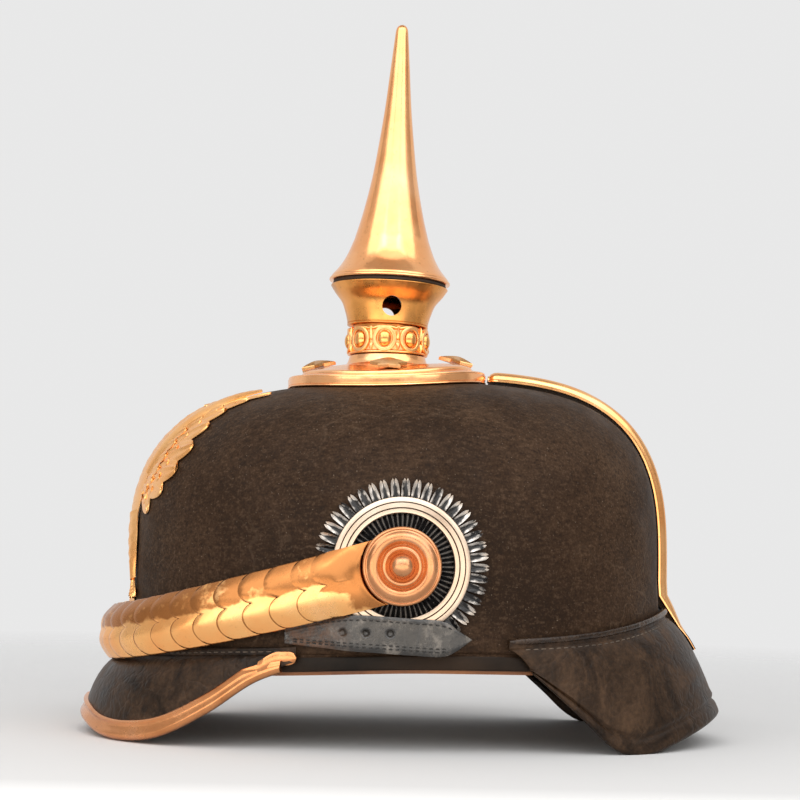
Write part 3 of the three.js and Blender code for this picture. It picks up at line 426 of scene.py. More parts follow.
# ---------------------------------------------------------------- skull surface
LENGTH, WIDTH, WALL, CROWN, RISE = 106.0, 86.0, 62.0, 143.5, 0.032
END_POWER, SIDE_POWER, FLARE = 3.3, 2.75, 0.07
GAP = 0.35  # running gap between neighbouring pieces
LEATHER = 2.5  # the skull's wall
BAND_SHOWS = 1.4  # of the sweatband below the hem


def field(p):
    x, y, z = p[..., 0], p[..., 1], p[..., 2]
    height = z - RISE * y - WALL
    flare = np.where(y > 0, 1 + FLARE * np.maximum(-height, 0) / LENGTH, 1)
    u, v = np.abs(x) / WIDTH, np.abs(y) / (LENGTH * flare)
    plan = np.hypot(u, v)
    share = np.where(plan > 0, v * v / np.maximum(plan * plan, 1e-12), 0)
    power = SIDE_POWER + (END_POWER - SIDE_POWER) * share
    up = np.maximum(height, 0) / (CROWN - WALL)
    return (plan ** power + up ** power) ** (1 / power) - 1


def normal_at(p):
    h = 0.01
    axes = np.eye(3) * h
    return unit(np.stack([field(p + a) - field(p - a) for a in axes], -1))


def on_skull(start, direction, lift=0.0):
    """Where rays from start leave the skull, lifted along its normal."""
    direction = np.asarray(direction, float)
    near = np.zeros(direction.shape[:-1])
    far = np.full(direction.shape[:-1], 260.0)
    for _ in range(40):
        middle = (near + far) / 2
        inside = field(start + direction * middle[..., None]) < 0
        near = np.where(inside, middle, near)
        far = np.where(inside, far, middle)
    p = start + direction * near[..., None]
    return p + normal_at(p) * np.asarray(lift, float)[..., None]


def on_side(side, y, z, lift=0.0):
    y, z = spread(y, z)
    start = np.stack([np.zeros_like(y), y, z], -1)
    direction = np.zeros_like(start)
    direction[..., 0] = side
    return on_skull(start, direction, lift)


def on_wall(angle, z, lift=0.0):
    angle, z = spread(angle, z)
    start = np.stack([np.zeros_like(z), np.zeros_like(z), z], -1)
    direction = unit(np.stack([WIDTH * np.cos(angle), LENGTH * np.sin(angle), np.zeros_like(z)], -1))
    return on_skull(start, direction, lift)


def on_top(x, y, lift=0.0):
    x, y = spread(x, y)
    start = np.stack([x, y, np.full_like(x, 60.0)], -1)
    direction = np.zeros_like(start)
    direction[..., 2] = 1
    return on_skull(start, direction, lift)


def hem_at(angle):
    ahead = -np.sin(angle)
    front = (ahead + np.hypot(ahead, 0.15)) / 2
    return 33.4 - 6 * front - 2.4 * np.maximum(-ahead, 0) ** 2


# ---------------------------------------------------------------- skull and sweatband
def build_skull():
    turns = np.arange(192) * 2 * math.pi / 192
    hem = hem_at(turns)
    rows = []
    # The wall: a rolled, stitched lower edge, then up to where the dome starts.
    edge = [(0.0, -0.5), (0.25, -0.1), (0.8, 0.05), (4.6, 0.05), (5.2, -0.1), (5.6, -0.75), (6.0, -0.8),
        (6.5, -0.15), (7.2, 0.0)]
    for above, lift in edge:
        rows.append(on_wall(turns, hem + above, lift))
    for share in np.linspace(0.06, 1, 14):
        rows.append(on_wall(turns, lerp(hem + 7.2, WALL, share), 0.0))
    base = rows[-1]
    for climb in np.linspace(0, 88.6, 40)[1:]:
        # Rays from the middle of the skull at the top of the wall.
        level = base * arr(1, 1, 0)
        flat = unit(level)
        direction = unit(flat * math.cos(math.radians(climb)) + arr(0, 0, math.sin(math.radians(climb))))
        rows.append(on_skull(np.broadcast_to(arr(0, 0, WALL), flat.shape), direction))
    outer = np.array(rows)
    normals = normal_at(outer)
    inner = outer - normals * LEATHER
    inner[0:9] = np.array([on_wall(turns, hem + above, -LEATHER) for above, _ in edge])
    top = len(outer) - 1
    n = len(turns)
    count = outer.shape[0] * n
    faces = grid_faces(top + 1, n, True) + grid_faces(top + 1, n, True, count)
    faces += [(j, (j + 1) % n, count + (j + 1) % n, count + j) for j in range(n)]
    faces += [tuple(top * n + j for j in range(n)), tuple(count + top * n + j for j in range(n))]
    points = np.concatenate([outer.reshape(-1, 3), inner.reshape(-1, 3)])
    obj = piece("skull_leather", points, faces, skull_leather, angle=50, slot="skull_leather")
    obj.data.materials.append(inner_leather)
    obj.data.materials.append(seam_leather)
    for poly in obj.data.polygons:
        c = (np.array(poly.center) / MM) - SHIFT
        if float(field(c)) < -0.012:
            poly.material_index = 1
        elif c[2] - float(hem_at(math.atan2(c[1], c[0]))) < 5.3:
            poly.material_index = 2
    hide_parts("skull")


def build_sweatband():
    turns = np.arange(160) * 2 * math.pi / 160
    hem = hem_at(turns)
    lift = -(LEATHER + GAP)
    low, high = hem - BAND_SHOWS, hem + 26 - BAND_SHOWS
    rows_out, rows_in = [], []
    for share in (0, 0.02, 0.06, 0.3, 0.6, 0.95, 1):
        pinch = 0.35 if share in (0, 1) else 0.0
        z = lerp(low, high, share)
        wave = 0.5 * np.sin(turns * 9) * step(share, 0.4, 1)
        rows_out.append(on_wall(turns, z, lift - pinch))
        rows_in.append(on_wall(turns, z, lift - 1.2 + pinch - np.abs(wave)))
    obj = sheet("sweatband_leather", np.array(rows_out), np.array(rows_in), tan_leather, around=True,
        slot="tan_leather")
    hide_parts("sweatband")


# ---------------------------------------------------------------- visors
FRONT = dict(sweep=69.5, leather=2.2, flange=3.2, reach=0.72, taper=0.0, heading=-1,
             root=[(0, 32), (0.2, 32.2), (0.34, 32.8), (0.47, 33.6), (0.6, 34.4), (0.75, 35.6),
             (0.88, 36.4), (1, 37.2)],
             out=[(0, 15.2), (0.2, 15.2), (0.34, 14.6), (0.47, 13.2), (0.6, 10.6), (0.75, 6.2), (0.88, 2.8),
             (1, 0.9)],
             edge=[(0, 11), (0.2, 8.6), (0.34, 5.6), (0.47, 5.2), (0.6, 8), (0.75, 17.7), (0.88, 29),
             (1, 35)])
REAR = dict(sweep=68.5, leather=2.2, flange=3.4, reach=0.48, taper=0.1, heading=1,
            root=[(0, 50.8), (0.2, 50.4), (0.38, 48), (0.5, 46), (0.58, 44.8), (0.67, 43.5), (0.72, 43),
            (0.82, 42), (0.93, 41.2), (1, 40.8)],
            out=[(0, 21.6), (0.2, 20.8), (0.38, 17.8), (0.5, 15), (0.58, 12.7), (0.67, 10.1), (0.72, 8.5),
            (0.82, 5.6), (0.93, 2.4), (1, 0.9)],
            edge=[(0, 14), (0.2, 13.2), (0.38, 9), (0.5, 5.2), (0.56, 2.9), (0.61, 1.7), (0.66, 1.7),
            (0.7, 3.2), (0.75, 6.6), (0.82, 14), (0.93, 25), (1, 31.6)])


REAR_RIM = 3.2  # the rolled free edge is thicker than the sheet
FLANGE_SHARE = 0.2  # how much of "along" is the sewn flange on the wall


def visor_point(v, across, along):
    across, along = spread(across, along)
    share = FLANGE_SHARE
    shrink = 1 - v["taper"] * np.maximum(along - share, 0)
    angle = math.radians(90) * v["heading"] - v["heading"] * math.radians(v["sweep"]) * across * shrink
    stand = GAP + v["leather"] / 2
    side = np.abs(across)
    root, out, edge = (curve(v[key], side) for key in ("root", "out", "edge"))
    flange = on_wall(angle, root + v["flange"] * np.clip(1 - along / share, 0, 1), stand)
    start = on_wall(angle, root, stand)
    outward = unit(normal_at(start) * arr(1, 1, 0))
    end = start + outward * out[..., None]
    end[..., 2] = edge
    knee = start + outward * (out * v["reach"])[..., None]
    knee[..., 2] -= 0.12 * (root - edge)
    t = np.clip((along - share) / (1 - share), 0, 1)[..., None]
    bent = start * (1 - t) ** 2 + knee * 2 * t * (1 - t) + end * t * t
    return np.where((along <= share)[..., None], flange, bent)


def visor_normal(v, across, along):
    h = 0.012
    sideways = visor_point(v, across + h, along) - visor_point(v, across - h, along)
    down = visor_point(v, across, np.clip(along + h, 0, 1)) - visor_point(v, across, np.clip(along - h, 0, 1))
    return unit(np.cross(sideways, down)) * v["heading"]


def visor_sheet(v, rim, groove):
    across = np.linspace(-1, 1, 121)[None, :]
    along = np.concatenate([np.linspace(0, 0.2, 9), np.linspace(0.22, 0.9, 26),
        np.linspace(0.91, 1, 12)])[:, None]
    across, along = np.broadcast_arrays(across, along)
    p = visor_point(v, across, along)
    n = visor_normal(v, across, along)
    half = v["leather"] / 2 + (rim - v["leather"]) / 2 * step(along, 0.9, 0.985)
    # Thinner at the ends and at the top of the flange, rounded at the free edge.
    fade = np.minimum(step(1 - np.abs(across), -0.012, 0.02), step(along, -0.03, 0.03))
    half = half * (0.35 + 0.65 * fade)
    half = half + groove(along)
    bead = np.clip((along - 0.985) / 0.015, 0, 1)
    half_round = half * np.sqrt(1 - 0.75 * bead ** 2)
    front, back = p + n * half_round[..., None], p - n * half_round[..., None]
    for face in (front, back):
        face[..., 2] = np.maximum(face[..., 2], REST)
    return front, back


def build_front_visor():
    def groove(along):
        return -0.35 * np.exp(-((along - 0.2) / 0.012) ** 2) - 0.2 * np.exp(-((along - 0.14) / 0.01) ** 2)
    front, back = visor_sheet(FRONT, FRONT["leather"], groove)
    obj = sheet("front_visor_leather", front, back, patent, slot="patent_leather", angle=60)
    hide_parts("front_visor")


def build_rear_visor():
    def groove(along):
        # Sewn line under the flange and a rolled rim with a groove and a ridge inside it.
        seam = -0.7 * np.exp(-((along - 0.2) / 0.01) ** 2) + 0.25 * np.exp(-((along - 0.06) / 0.05) ** 2)
        stitches = -0.25 * np.exp(-((along - 0.27) / 0.008) ** 2)
        rim = -0.8 * np.exp(-((along - 0.925) / 0.012) ** 2) + 0.35 * np.exp(-((along - 0.9) / 0.012) ** 2)
        return seam + stitches + rim
    front, back = visor_sheet(REAR, REAR_RIM, groove)
    obj = sheet("rear_visor_leather", front, back, patent, slot="patent_leather", angle=60)
    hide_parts("rear_visor")
    # Rolled piping along the seam, worn shiny.
    across = np.linspace(-1, 1, 121)
    out = visor_normal(REAR, across, 0.03)
    line = visor_point(REAR, across, 0.03) + out
    up = arr(0, 0, 1)
    ring = np.arange(10) * 2 * math.pi / 10
    thick = 1.25 * (0.35 + 0.65 * step(1 - np.abs(across), 0, 0.03))[:, None, None]
    sections = line[:, None, :] + thick * (out[:, None, :] * np.cos(ring)[None, :, None] * 0.8
        + up * np.sin(ring)[None, :, None])
    tube("rear_visor_piping", sections, piping_leather, angle=60)


def stitch_row(name, points, normals, material, length=2.2, gap=1.0, radius=0.24):
    """Thread lying along a line of points, one short capsule for each stitch."""
    steps = np.linalg.norm(np.diff(points, axis=0), axis=1)
    run = np.concatenate([[0], np.cumsum(steps)])
    verts, faces = [], []
    s = gap
    ring = np.arange(6) * math.pi / 3
    while s + length < run[-1]:
        a = np.array([np.interp(s, run, points[:, k]) for k in range(3)])
        b = np.array([np.interp(s + length, run, points[:, k]) for k in range(3)])
        n = unit(np.array([np.interp(s, run, normals[:, k]) for k in range(3)]))
        t = unit(b - a)
        w = unit(np.cross(t, n))
        base = len(verts)
        for share, fat, up in ((0, 0.25, -0.05), (0.12, 0.85, 0.12), (0.5, 1.0, 0.2), (0.88, 0.85, 0.12),
                (1, 0.25, -0.05)):
            c = lerp(a, b, share) + n * up
            verts += [c + (w * math.cos(q) + n * math.sin(q)) * radius * fat for q in ring]
        faces += grid_faces(5, 6, True, base)
        faces += [tuple(base + j for j in range(6)), tuple(base + 24 + j for j in range(6))]
        s += length + gap
    return piece(name, verts, faces, material, slot="strap_leather")


def build_visor_stitches():
    for label, v, along, half in (("front", FRONT, 0.1, 1.1), ("rear", REAR, 0.27, 0.85)):
        across = np.linspace(-0.97, 0.97, 260)
        line, normals = visor_point(v, across, along), visor_normal(v, across, along)
        stitch_row(f"{label}_visor_stitches", line + normals * half, normals, thread)


# ---------------------------------------------------------------- visor binding and rear spine
def build_trim():
    """Gilt binding: inner rail, hollow, round bead, and a tongue at each end."""
    stations = 160
    across = np.clip(np.linspace(-1, 1, stations + 1), -0.96, 0.96)
    edge = visor_point(FRONT, across, 1)
    back = visor_point(FRONT, across, 0.7) - edge
    room = np.linalg.norm(back, axis=-1) - 0.2
    inward = unit(back)
    normal = visor_normal(FRONT, across, 1)
    half, metal = 1.1 + GAP, 0.8
    leg = half + metal
    side = np.abs(across)
    tuck = 1 - step(side, 0.84, 0.9)
    folded = step(side, 0.76, 0.83)
    under = lerp(np.minimum(2.8, room), -0.45, folded)
    deep = np.minimum(5.2, room)
    outline = [
        (deep, half), (deep, leg - 0.1), (deep - 0.25, leg + 0.35 * tuck),
        (deep - 0.9, leg + 0.75 * tuck),
        (deep - 1.5, leg + 0.35 * tuck), (deep - 1.9, leg - 0.1),
        (deep * 0.45, leg - 0.25), (deep * 0.22, leg - 0.05),
        (deep * 0.06, leg + 0.3), (-0.6, leg + 0.35), (-1.35, leg - 0.1),
        (-2.0, leg - 0.95),
        (-2.35, 0.2), (-2.1, -0.9), (-1.3, -lerp(1.45, leg, tuck)),
        (-0.5, -lerp(1.15, leg, tuck)),
        (under, -lerp(1.0, leg, tuck)), (under, -lerp(0.9, half, tuck)),
        (-0.4, -lerp(0.8, half, tuck)), (-0.4, half),
    ]
    sections = []
    for s, n in outline:
        s, n, _ = spread(s, n, side)
        sections.append(edge + inward * s[:, None] + normal * n[:, None])
    sections = np.stack(sections, 1)
    sections[..., 2] = np.maximum(sections[..., 2], REST)
    obj = tube("front_visor_binding", sections, gilt_trim, slot="gilt_brass", angle=50)
    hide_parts("front_visor_trim")
    # A rounded tongue at each end, lying on the skull at the visor's root.
    for sign in (-1, 1):
        tip = visor_point(FRONT, np.array([sign * 0.955]), np.array([0.75]))[0]
        turn = math.atan2(tip[1] / LENGTH, tip[0] / WIDTH)
        u, v = places(25, 9, low=-1)
        long = 6.2 * u
        wide = 2.4 * np.sqrt(np.maximum(1 - np.maximum(u - 0.55, 0) ** 2 / 0.2025, 0.02)) * v
        angle = turn + sign * (long - 0.9) / 96
        z = 36.0 - 3.6 * step(-u, 0.0, 1.2) + 0.3 * u + wide
        lift = 3.3 + 0.5 * (1 - v ** 2) - 0.5 * step(u, 0.3, 1.0) + 2.4 * step(-u, -0.1, 0.7)
        front = on_wall(angle + 0 * v, z, lift)
        back_face = on_wall(angle + 0 * v, z, lift - 0.8)
        sheet(f"front_visor_tongue_{'left' if sign > 0 else 'right'}", front, back_face, gilt_trim,
            slot="gilt_brass", angle=50)


SPINE_LINE = [(0.42, 1.9), (0.5, 1.3), (0.58, 1.0), (0.64, 0.9)]


def build_spine():
    climbs = np.concatenate([[66.9, 66.6, 66.1, 65.4, 64.5, 63.4], np.linspace(62, 0, 60)])
    angle = np.radians(climbs)
    start = arr(0, 0, 60)
    direction = np.stack([np.zeros_like(angle), np.cos(angle), np.sin(angle)], -1)
    base = on_skull(np.broadcast_to(start, direction.shape), direction)
    normal = normal_at(base)
    base = base + normal * (0.6 + 1.2 * step(climbs, 25, 52))[:, None]
    crest = np.full(len(climbs), 4.4)
    along = np.linspace(0.42, 0.64, 14)
    middle = np.zeros_like(along)
    vb, vn = visor_point(REAR, middle, along), visor_normal(REAR, middle, along)
    # A straight bridge between the wall and the visor.
    share = np.linspace(0, 1, 10)[1:-1, None]
    end = vb[0] + vn[0] * 1.45
    bridge = base[-1] * (1 - share) + end * share
    bridge_n = unit(normal[-1] * (1 - share) + vn[0] * share)
    bases = np.concatenate([base, bridge, vb + vn * (1.45 + 0.35 * step(along, 0.42, 0.56))[:, None]])
    normals = np.concatenate([normal, bridge_n, vn])
    crests = np.concatenate([crest, lerp(4.4, 1.9, share[:, 0]), curve(SPINE_LINE, along)])
    run = np.linalg.norm(bases - bases[0], axis=1) / 4.5
    swell = np.where(run < 1, np.maximum(np.sqrt(np.maximum(1 - (1 - run) ** 3, 0)), 0.6), 1)
    # Flat flange, step, then a high rounded rib.
    shape = [(-1, 0), (-1, 0.16), (-0.95, 0.24), (-0.70, 0.27), (-0.66, 0.34), (-0.62, 0.52), (-0.5, 0.76),
        (-0.3, 0.94), (0, 1.0), (0.3, 0.94), (0.5, 0.76), (0.62, 0.52), (0.66, 0.34), (0.70, 0.27),
        (0.95, 0.24), (1, 0.16), (1, 0), (0.85, 0), (0.5, 0.3), (0, 0.62), (-0.5, 0.3), (-0.85, 0)]
    shape = np.array(shape)
    wide = 6.0 * swell[:, None] * shape[None, :, 0]
    tall = crests[:, None] * swell[:, None] * shape[None, :, 1]
    sections = bases[:, None, :] + normals[:, None, :] * tall[..., None]
    sections[..., 0] += wide
    obj = tube("rear_spine_strip", sections, gilt_light, slot="gilt_brass", angle=40)
    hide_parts("rear_spine")
    # A dark sheet beneath the strip: painted shade.
    sections = [bases + normals * up for up in (0.9, 0.9, -2.0, -2.0)]
    sections = np.stack(sections, 1)
    sections[..., 0] += np.array([-3.6, 3.6, 3.6, -3.6])
    tube("rear_spine_painted_shade", sections[1:], painted_shade_and_grime, angle=40)


# ---------------------------------------------------------------- base plate, stars, neck, ring, spike
PLATE_Y, PLATE_RIM, COLLAR, DOME, COLLAR_TOP = -5.6, 40.6, 17.2, 30.0, 155.3
STAR_CIRCLE = 28.6  # radius at which the four stars stand


def seat(angle):
    return on_top(PLATE_RIM * np.cos(angle), PLATE_Y + PLATE_RIM * np.sin(angle), GAP)[..., 2]


PLATE_LEVEL = float(np.mean(seat(np.arange(8) * math.pi / 4)))


def plate_height(angle, r, share):
    follow = np.clip((r - COLLAR) / (DOME - COLLAR), 0, 1)
    return lerp(PLATE_LEVEL, seat(angle), follow) + share * (COLLAR_TOP - PLATE_LEVEL)


def build_base_plate():
    profile = [(40.2, 0.0), (40.6, 0.012), (40.75, 0.035), (40.6, 0.06), (40.3, 0.07), (40.3, 0.08),
        (40.5, 0.09), (40.6, 0.25), (40.55, 0.262), (40.3, 0.265), (40.25, 0.28), (40.35, 0.30),
        (40.2, 0.325), (39.8, 0.34), (39.2, 0.345), (37.5, 0.365), (35.6, 0.395), (35.0, 0.41),
        (34.9, 0.45), (34.5, 0.485), (33.5, 0.51), (30, 0.575), (26, 0.64), (21, 0.685), (18.2, 0.70),
        (17.4, 0.712), (17.0, 0.735), (16.4, 0.80), (15.9, 0.9), (15.6, 0.985), (15.3, 1.0), (12.5, 1.0),
        (12.5, 0.62), (24, 0.5), (33.6, 0.38), (39.2, 0.02)]
    segments = 144
    turn = np.arange(segments) * 2 * math.pi / segments
    rows = []
    for r, share in profile:
        z = plate_height(turn, r, share)
        rows.append(np.stack([r * np.cos(turn), PLATE_Y + r * np.sin(turn), z], -1))
    grid = np.array(rows)
    n = len(profile)
    faces = grid_faces(n, segments, True) + wrap_faces(n, segments)
    obj = piece("base_plate_turned", grid, faces, gilt, slot="gilt_brass", angle=35)
    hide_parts("base_plate")


def build_stars():
    for k, label in enumerate(("left", "rear", "right", "front")):
        turn = math.pi / 2 * k
        centre = arr(STAR_CIRCLE * math.cos(turn), PLATE_Y + STAR_CIRCLE * math.sin(turn), 0)
        centre[2] = float(plate_height(np.array(turn), STAR_CIRCLE, 0.6)) + 0.5
        slope = math.radians(14)
        tilt = np.array([[math.cos(slope), 0, math.sin(slope)], [0, 1, 0],
            [-math.sin(slope), 0, math.cos(slope)]])
        spin = np.array([[math.cos(turn), -math.sin(turn), 0], [math.sin(turn), math.cos(turn), 0],
            [0, 0, 1]])
        verts = []
        levels = [(0.985, 0.0), (1.0, 0.15), (1.0, 1.1), (0.96, 1.45), (0.66, 2.3), (0.33, 3.0), (0.1, 3.35)]
        for size, z in levels:
            for i in range(10):
                a = math.pi + math.pi * i / 5
                r = (7.8 if i % 2 == 0 else 3.6) * size
                verts.append([r * math.cos(a), r * math.sin(a), z])
        verts.append([0, 0, 3.42])
        faces = grid_faces(len(levels), 10, True)
        last = (len(levels) - 1) * 10
        faces += [(last + j, last + (j + 1) % 10, len(verts) - 1) for j in range(10)]
        faces.append(tuple(range(10)))
        points = np.array(verts) @ tilt.T @ spin.T + centre
        obj = piece(f"star_{label}", points, faces, gilt_star_painted_shade, slot="gilt_brass", angle=12)
        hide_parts(f"star_stud_{label}")


LEAN = math.radians(1.5)
MAST_FOOT = arr(0, PLATE_Y - 0.6, COLLAR_TOP)


def mast(points):
    """From the neck's own axis to the body's coordinates."""
    c, s = math.cos(LEAN), math.sin(LEAN)
    turned = np.stack([points[..., 0], points[..., 1] * c + points[..., 2] * s,
        -points[..., 1] * s + points[..., 2] * c], -1)
    return turned + MAST_FOOT


SPIKE_SEAT = 30.5  # height on the neck at which the spike sits down
VENT_UP, VENT_RADIUS = 19, 3.9
NECK = [(12.3, 16.5), (14.6, 16.8), (18.2, 17.8), (22, 19.3), (26, 22.4), (28.4, 24)]


def build_neck():
    segments = 96
    heights = np.linspace(12.3, 28.4, 34)
    outer = [(float(curve(NECK, z)), float(z)) for z in heights]
    outer = [(13.9, 0.4), (13.9, 12.0), (16.2, 12.15), (16.62, 12.4), (16.62, 12.9),
        (16.4, 13.2)] + outer[2:] + [(24.1, 28.55), (24.05, 28.75), (23.7, 28.85), (23.0, 28.95)]
    inner = [(22.3, 29.0), (22.1, 28.4)] + [(r - 1.1, z) for r, z in outer[::-1]
        if 14 < z < 28.2] + [(14.4, 13.2), (12.8, 12.2), (12.8, 0.4)]
    obj = lathe("neck_turned", outer + inner, gilt_brushed, segments=segments, place=mast,
        slot="gilt_brass", angle=35)
    # The vent, drilled right through.
    bm = bmesh.new()
    bmesh.ops.create_cone(bm, cap_ends=True, segments=40, radius1=VENT_RADIUS * MM,
        radius2=VENT_RADIUS * MM, depth=60 * MM)
    turn = math.radians(3.5)
    axis = Vector((math.cos(turn), math.sin(turn), 0))
    centre = (mast(arr(0, 0, VENT_UP)) + SHIFT) * MM
    spin = axis.to_track_quat("Z", "Y").to_matrix().to_4x4()
    bmesh.ops.transform(bm, matrix=Matrix.Translation(Vector(centre)) @ spin, verts=bm.verts)
    cutter_mesh = bpy.data.meshes.new("drill")
    bm.to_mesh(cutter_mesh)
    bm.free()
    cutter = bpy.data.objects.new("drill", cutter_mesh)
    bpy.context.collection.objects.link(cutter)
    drill = obj.modifiers.new("vent", "BOOLEAN")
    drill.operation, drill.object, drill.solver = "DIFFERENCE", cutter, "EXACT"
    bpy.context.view_layer.update()
    depsgraph = bpy.context.evaluated_depsgraph_get()
    drilled = bpy.data.meshes.new_from_object(obj.evaluated_get(depsgraph))
    obj.modifiers.clear()
    obj.data = drilled
    bpy.data.objects.remove(cutter)
    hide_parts("spike_neck")
    # A dark ring round the spigot, where the spike screws down: painted shade in the gap under the spike's
    # flange.
    dirt = [(20.0, 28.95), (22.6, 29.1), (23.1, 29.2), (23.3, 29.7), (23.2, 30.3), (22.6, 30.45),
        (20.0, 30.45)]
    lathe("spike_seat_painted_shade", dirt, painted_shade_and_grime, segments=96, place=mast, angle=35)


def build_spike():
    rows = [(3.2, 23.2), (6.2, 20.8), (10.4, 18.4), (15, 16.5), (23, 14), (32, 11.8), (44, 9.4), (58, 7.4),
        (74, 5.5), (92, 3.9), (106.5, 2.6)]
    outer = [(24.3, 0.0), (24.75, 0.12), (24.95, 0.45), (24.9, 0.95), (24.6, 1.3), (24.3, 1.45),
        (24.25, 1.75), (23.95, 2.3)]
    for z in np.concatenate([np.linspace(3.2, 15, 16), np.linspace(16, 106, 60)]):
        r = float(curve(rows, z))
        # Two faint scribed rings above the flange.
        for ringed in (17.6, 18.8):
            r -= 0.12 * math.exp(-((z - ringed) / 0.25) ** 2)
        outer.append((r, float(z)))
    outer += [(2.45, 107.2), (2.1, 108.1), (1.5, 108.8), (0.8, 109.15), (0.0, 109.2)]
    inner = [(18.6, 0), (18.6, -2.8), (17.6, -2.8), (17.6, 3), (16, 12), (12.4, 24), (9.0, 40), (5.9, 58),
        (0.0, 62)]
    def place(p):
        return mast(p + arr(0, 0, SPIKE_SEAT))
    obj = lathe("spike_turned", inner[::-1] + outer, gilt, segments=144, place=place, slot="gilt_brass",
        angle=35)
    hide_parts("spike")


PEARLS, PEARL_TURN = 9, math.radians(6)
# A dart's rim as (across, up), and which of the three ridge points each rim point leans on.
DART_RIM = np.array([(0, 1.0), (0.42, 0.72), (0.8, 0.42), (1.0, 0.12), (0.62, 0.0), (0, -0.05),
    (-0.62, 0.0), (-1.0, 0.12), (-0.8, 0.42), (-0.42, 0.72)])
DART_FAN = (0, 0, 1, 1, 2, 2, 2, 1, 1, 0)


def build_pearl_ring():
    """Nine oval pearls in raised frames, with an arch over each and pointed darts between."""
    segments = 216
    foot = arr(0, PLATE_Y, COLLAR_TOP)
    profile = [(14.8, 0.35), (16.3, 0.35), (16.5, 0.6), (16.45, 1.0), (16.1, 1.3), (15.8, 1.55),
        (15.8, 9.7), (16.0, 10.0), (16.3, 10.3), (16.5, 10.8), (16.4, 11.3), (16.0, 11.5), (14.8, 11.5)]

    def scallop(p):
        """The upper edge arches over each pearl and dips between them."""
        turn = np.arctan2(p[..., 1], p[..., 0])
        phase = PEARLS / 2 * (turn + PEARL_TURN)
        arch = np.maximum(np.abs(np.cos(phase)) ** 0.8, 1 - np.abs(np.cos(phase)) * 3.2)
        above = np.maximum(p[..., 2] - 9.4, 0)
        shaped = p.copy()
        shaped[..., 2] = p[..., 2] - above * (1 - lerp(0.3, 1.0, arch))
        return shaped + foot
    obj = lathe("pearl_ring_band", profile, gilt_relief, segments=segments, place=scallop,
        slot="gilt_brass", angle=35)
    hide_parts("pearl_ring")
    middle = 5.95

    def around(turn, z, r):
        return np.stack([r * np.cos(turn), PLATE_Y + r * np.sin(turn), COLLAR_TOP + z], -1)

    q = np.linspace(0, 2 * math.pi, 37)[:-1]
    for k in range(PEARLS):
        at = 2 * math.pi * k / PEARLS - PEARL_TURN
        # Pearl: a domed oval.
        rows = []
        for share in (1, 0.97, 0.9, 0.78, 0.62, 0.44, 0.25, 0.08):
            r = 15.7 + 2.1 * math.sqrt(max(1 - share ** 2, 0))
            rows.append(around(at + 2.75 * share * np.cos(q) / 16, middle + 3.45 * share * np.sin(q), r))
        last = (len(rows) - 1) * len(q)
        faces = grid_faces(len(rows), len(q), True)
        faces += [tuple(last + j for j in range(len(q))), tuple(range(len(q)))]
        piece(f"pearl_{k + 1}", np.array(rows), faces, gilt_deep, slot="gilt_brass", angle=60)
        # Frame: an oval bead round it.
        rows = []
        for w in np.linspace(0, 2 * math.pi, 11)[:-1]:
            grow = 0.85 * math.copysign(abs(math.cos(w)) ** 0.6, math.cos(w))
            thick = 0.5 * math.copysign(abs(math.sin(w)) ** 0.6, math.sin(w))
            rows.append(around(at + (4.1 + grow) * np.cos(q) / 16, middle + (4.5 + grow) * np.sin(q),
                16.3 + thick + 0 * q))
        faces = grid_faces(len(rows), len(q), True) + wrap_faces(len(rows), len(q))
        piece(f"pearl_frame_{k + 1}", np.array(rows), faces, gilt_relief, slot="gilt_brass", angle=60)
        # Dart between two frames: a ridged point above and a small one below.
        turn = at + math.pi / PEARLS
        for way, sign, height, half, level in (("up", 1, 5.9, 0.95, 5.6), ("down", -1, 3.6, 1.0, 4.4)):
            across, climb = DART_RIM.T
            m = len(DART_RIM)
            verts = [
                *around(turn + across * half / 16, level + sign * height * climb, np.full(m, 15.7)),
                *around(turn + across * half * 0.9 / 16, level + sign * height * (0.04 + climb * 0.93),
                    np.full(m, 16.5)),
                *around(np.full(3, turn), level + sign * height * arr(0.86, 0.5, 0.1),
                    arr(16.7, 17.25, 17.0))]
            faces = grid_faces(2, m, True) + [tuple(range(m))]
            for j in range(m):
                after = (j + 1) % m
                a, b = 2 * m + DART_FAN[j], 2 * m + DART_FAN[after]
                faces.append((m + j, m + after, a))
                if a != b:
                    faces.append((m + after, b, a))
            piece(f"pearl_dart_{way}_{k + 1}", np.array(verts), faces, gilt_relief,
                slot="gilt_brass", angle=18)


# ---------------------------------------------------------------- eagle plate
def eagle_point(turn, climb, lift):
    turn, climb = np.broadcast_arrays(np.radians(turn), np.radians(climb))
    direction = np.stack([np.sin(turn) * np.cos(climb), -np.cos(turn) * np.cos(climb), np.sin(climb)], -1)
    start = np.zeros_like(direction)
    start[..., 2] = 60
    return on_skull(start, direction, lift)


def relief(side, turn, climb, top, low):
    """Front and back of a relief that stands on the skull between two lifts."""
    return eagle_point(side * turn, climb, top), eagle_point(side * turn, climb, np.full_like(top, low))


def limb(rows, stations):
    """Share of the way along a limb, then its turn, climb and width from a table of the three."""
    u = np.linspace(0, 1, stations)[:, None]
    return u, *(curve([(i, row[k]) for i, row in enumerate(rows)], u * (len(rows) - 1)) for k in range(3))


# Root and tip of each flight feather, then its width and crest.
FEATHERS = [((17, 42), (32, 51.4)), ((14.5, 35), (27.5, 47.4)), ((13, 30), (26, 42.2)),
    ((12, 26.5), (27, 37)), ((11, 23.5), (27.6, 31)), ((10, 21.5), (25.8, 25.6)),
    ((8.6, 20.5), (22.4, 20.6)), ((7, 20), (17.2, 16))]
WIDTHS = (1.5, 2.5, 3.0, 3.2, 3.3, 3.2, 3.0, 2.5)
CRESTS = (0.5, 0.7, 0.9, 1.0, 1.0, 1.0, 0.9, 0.8)


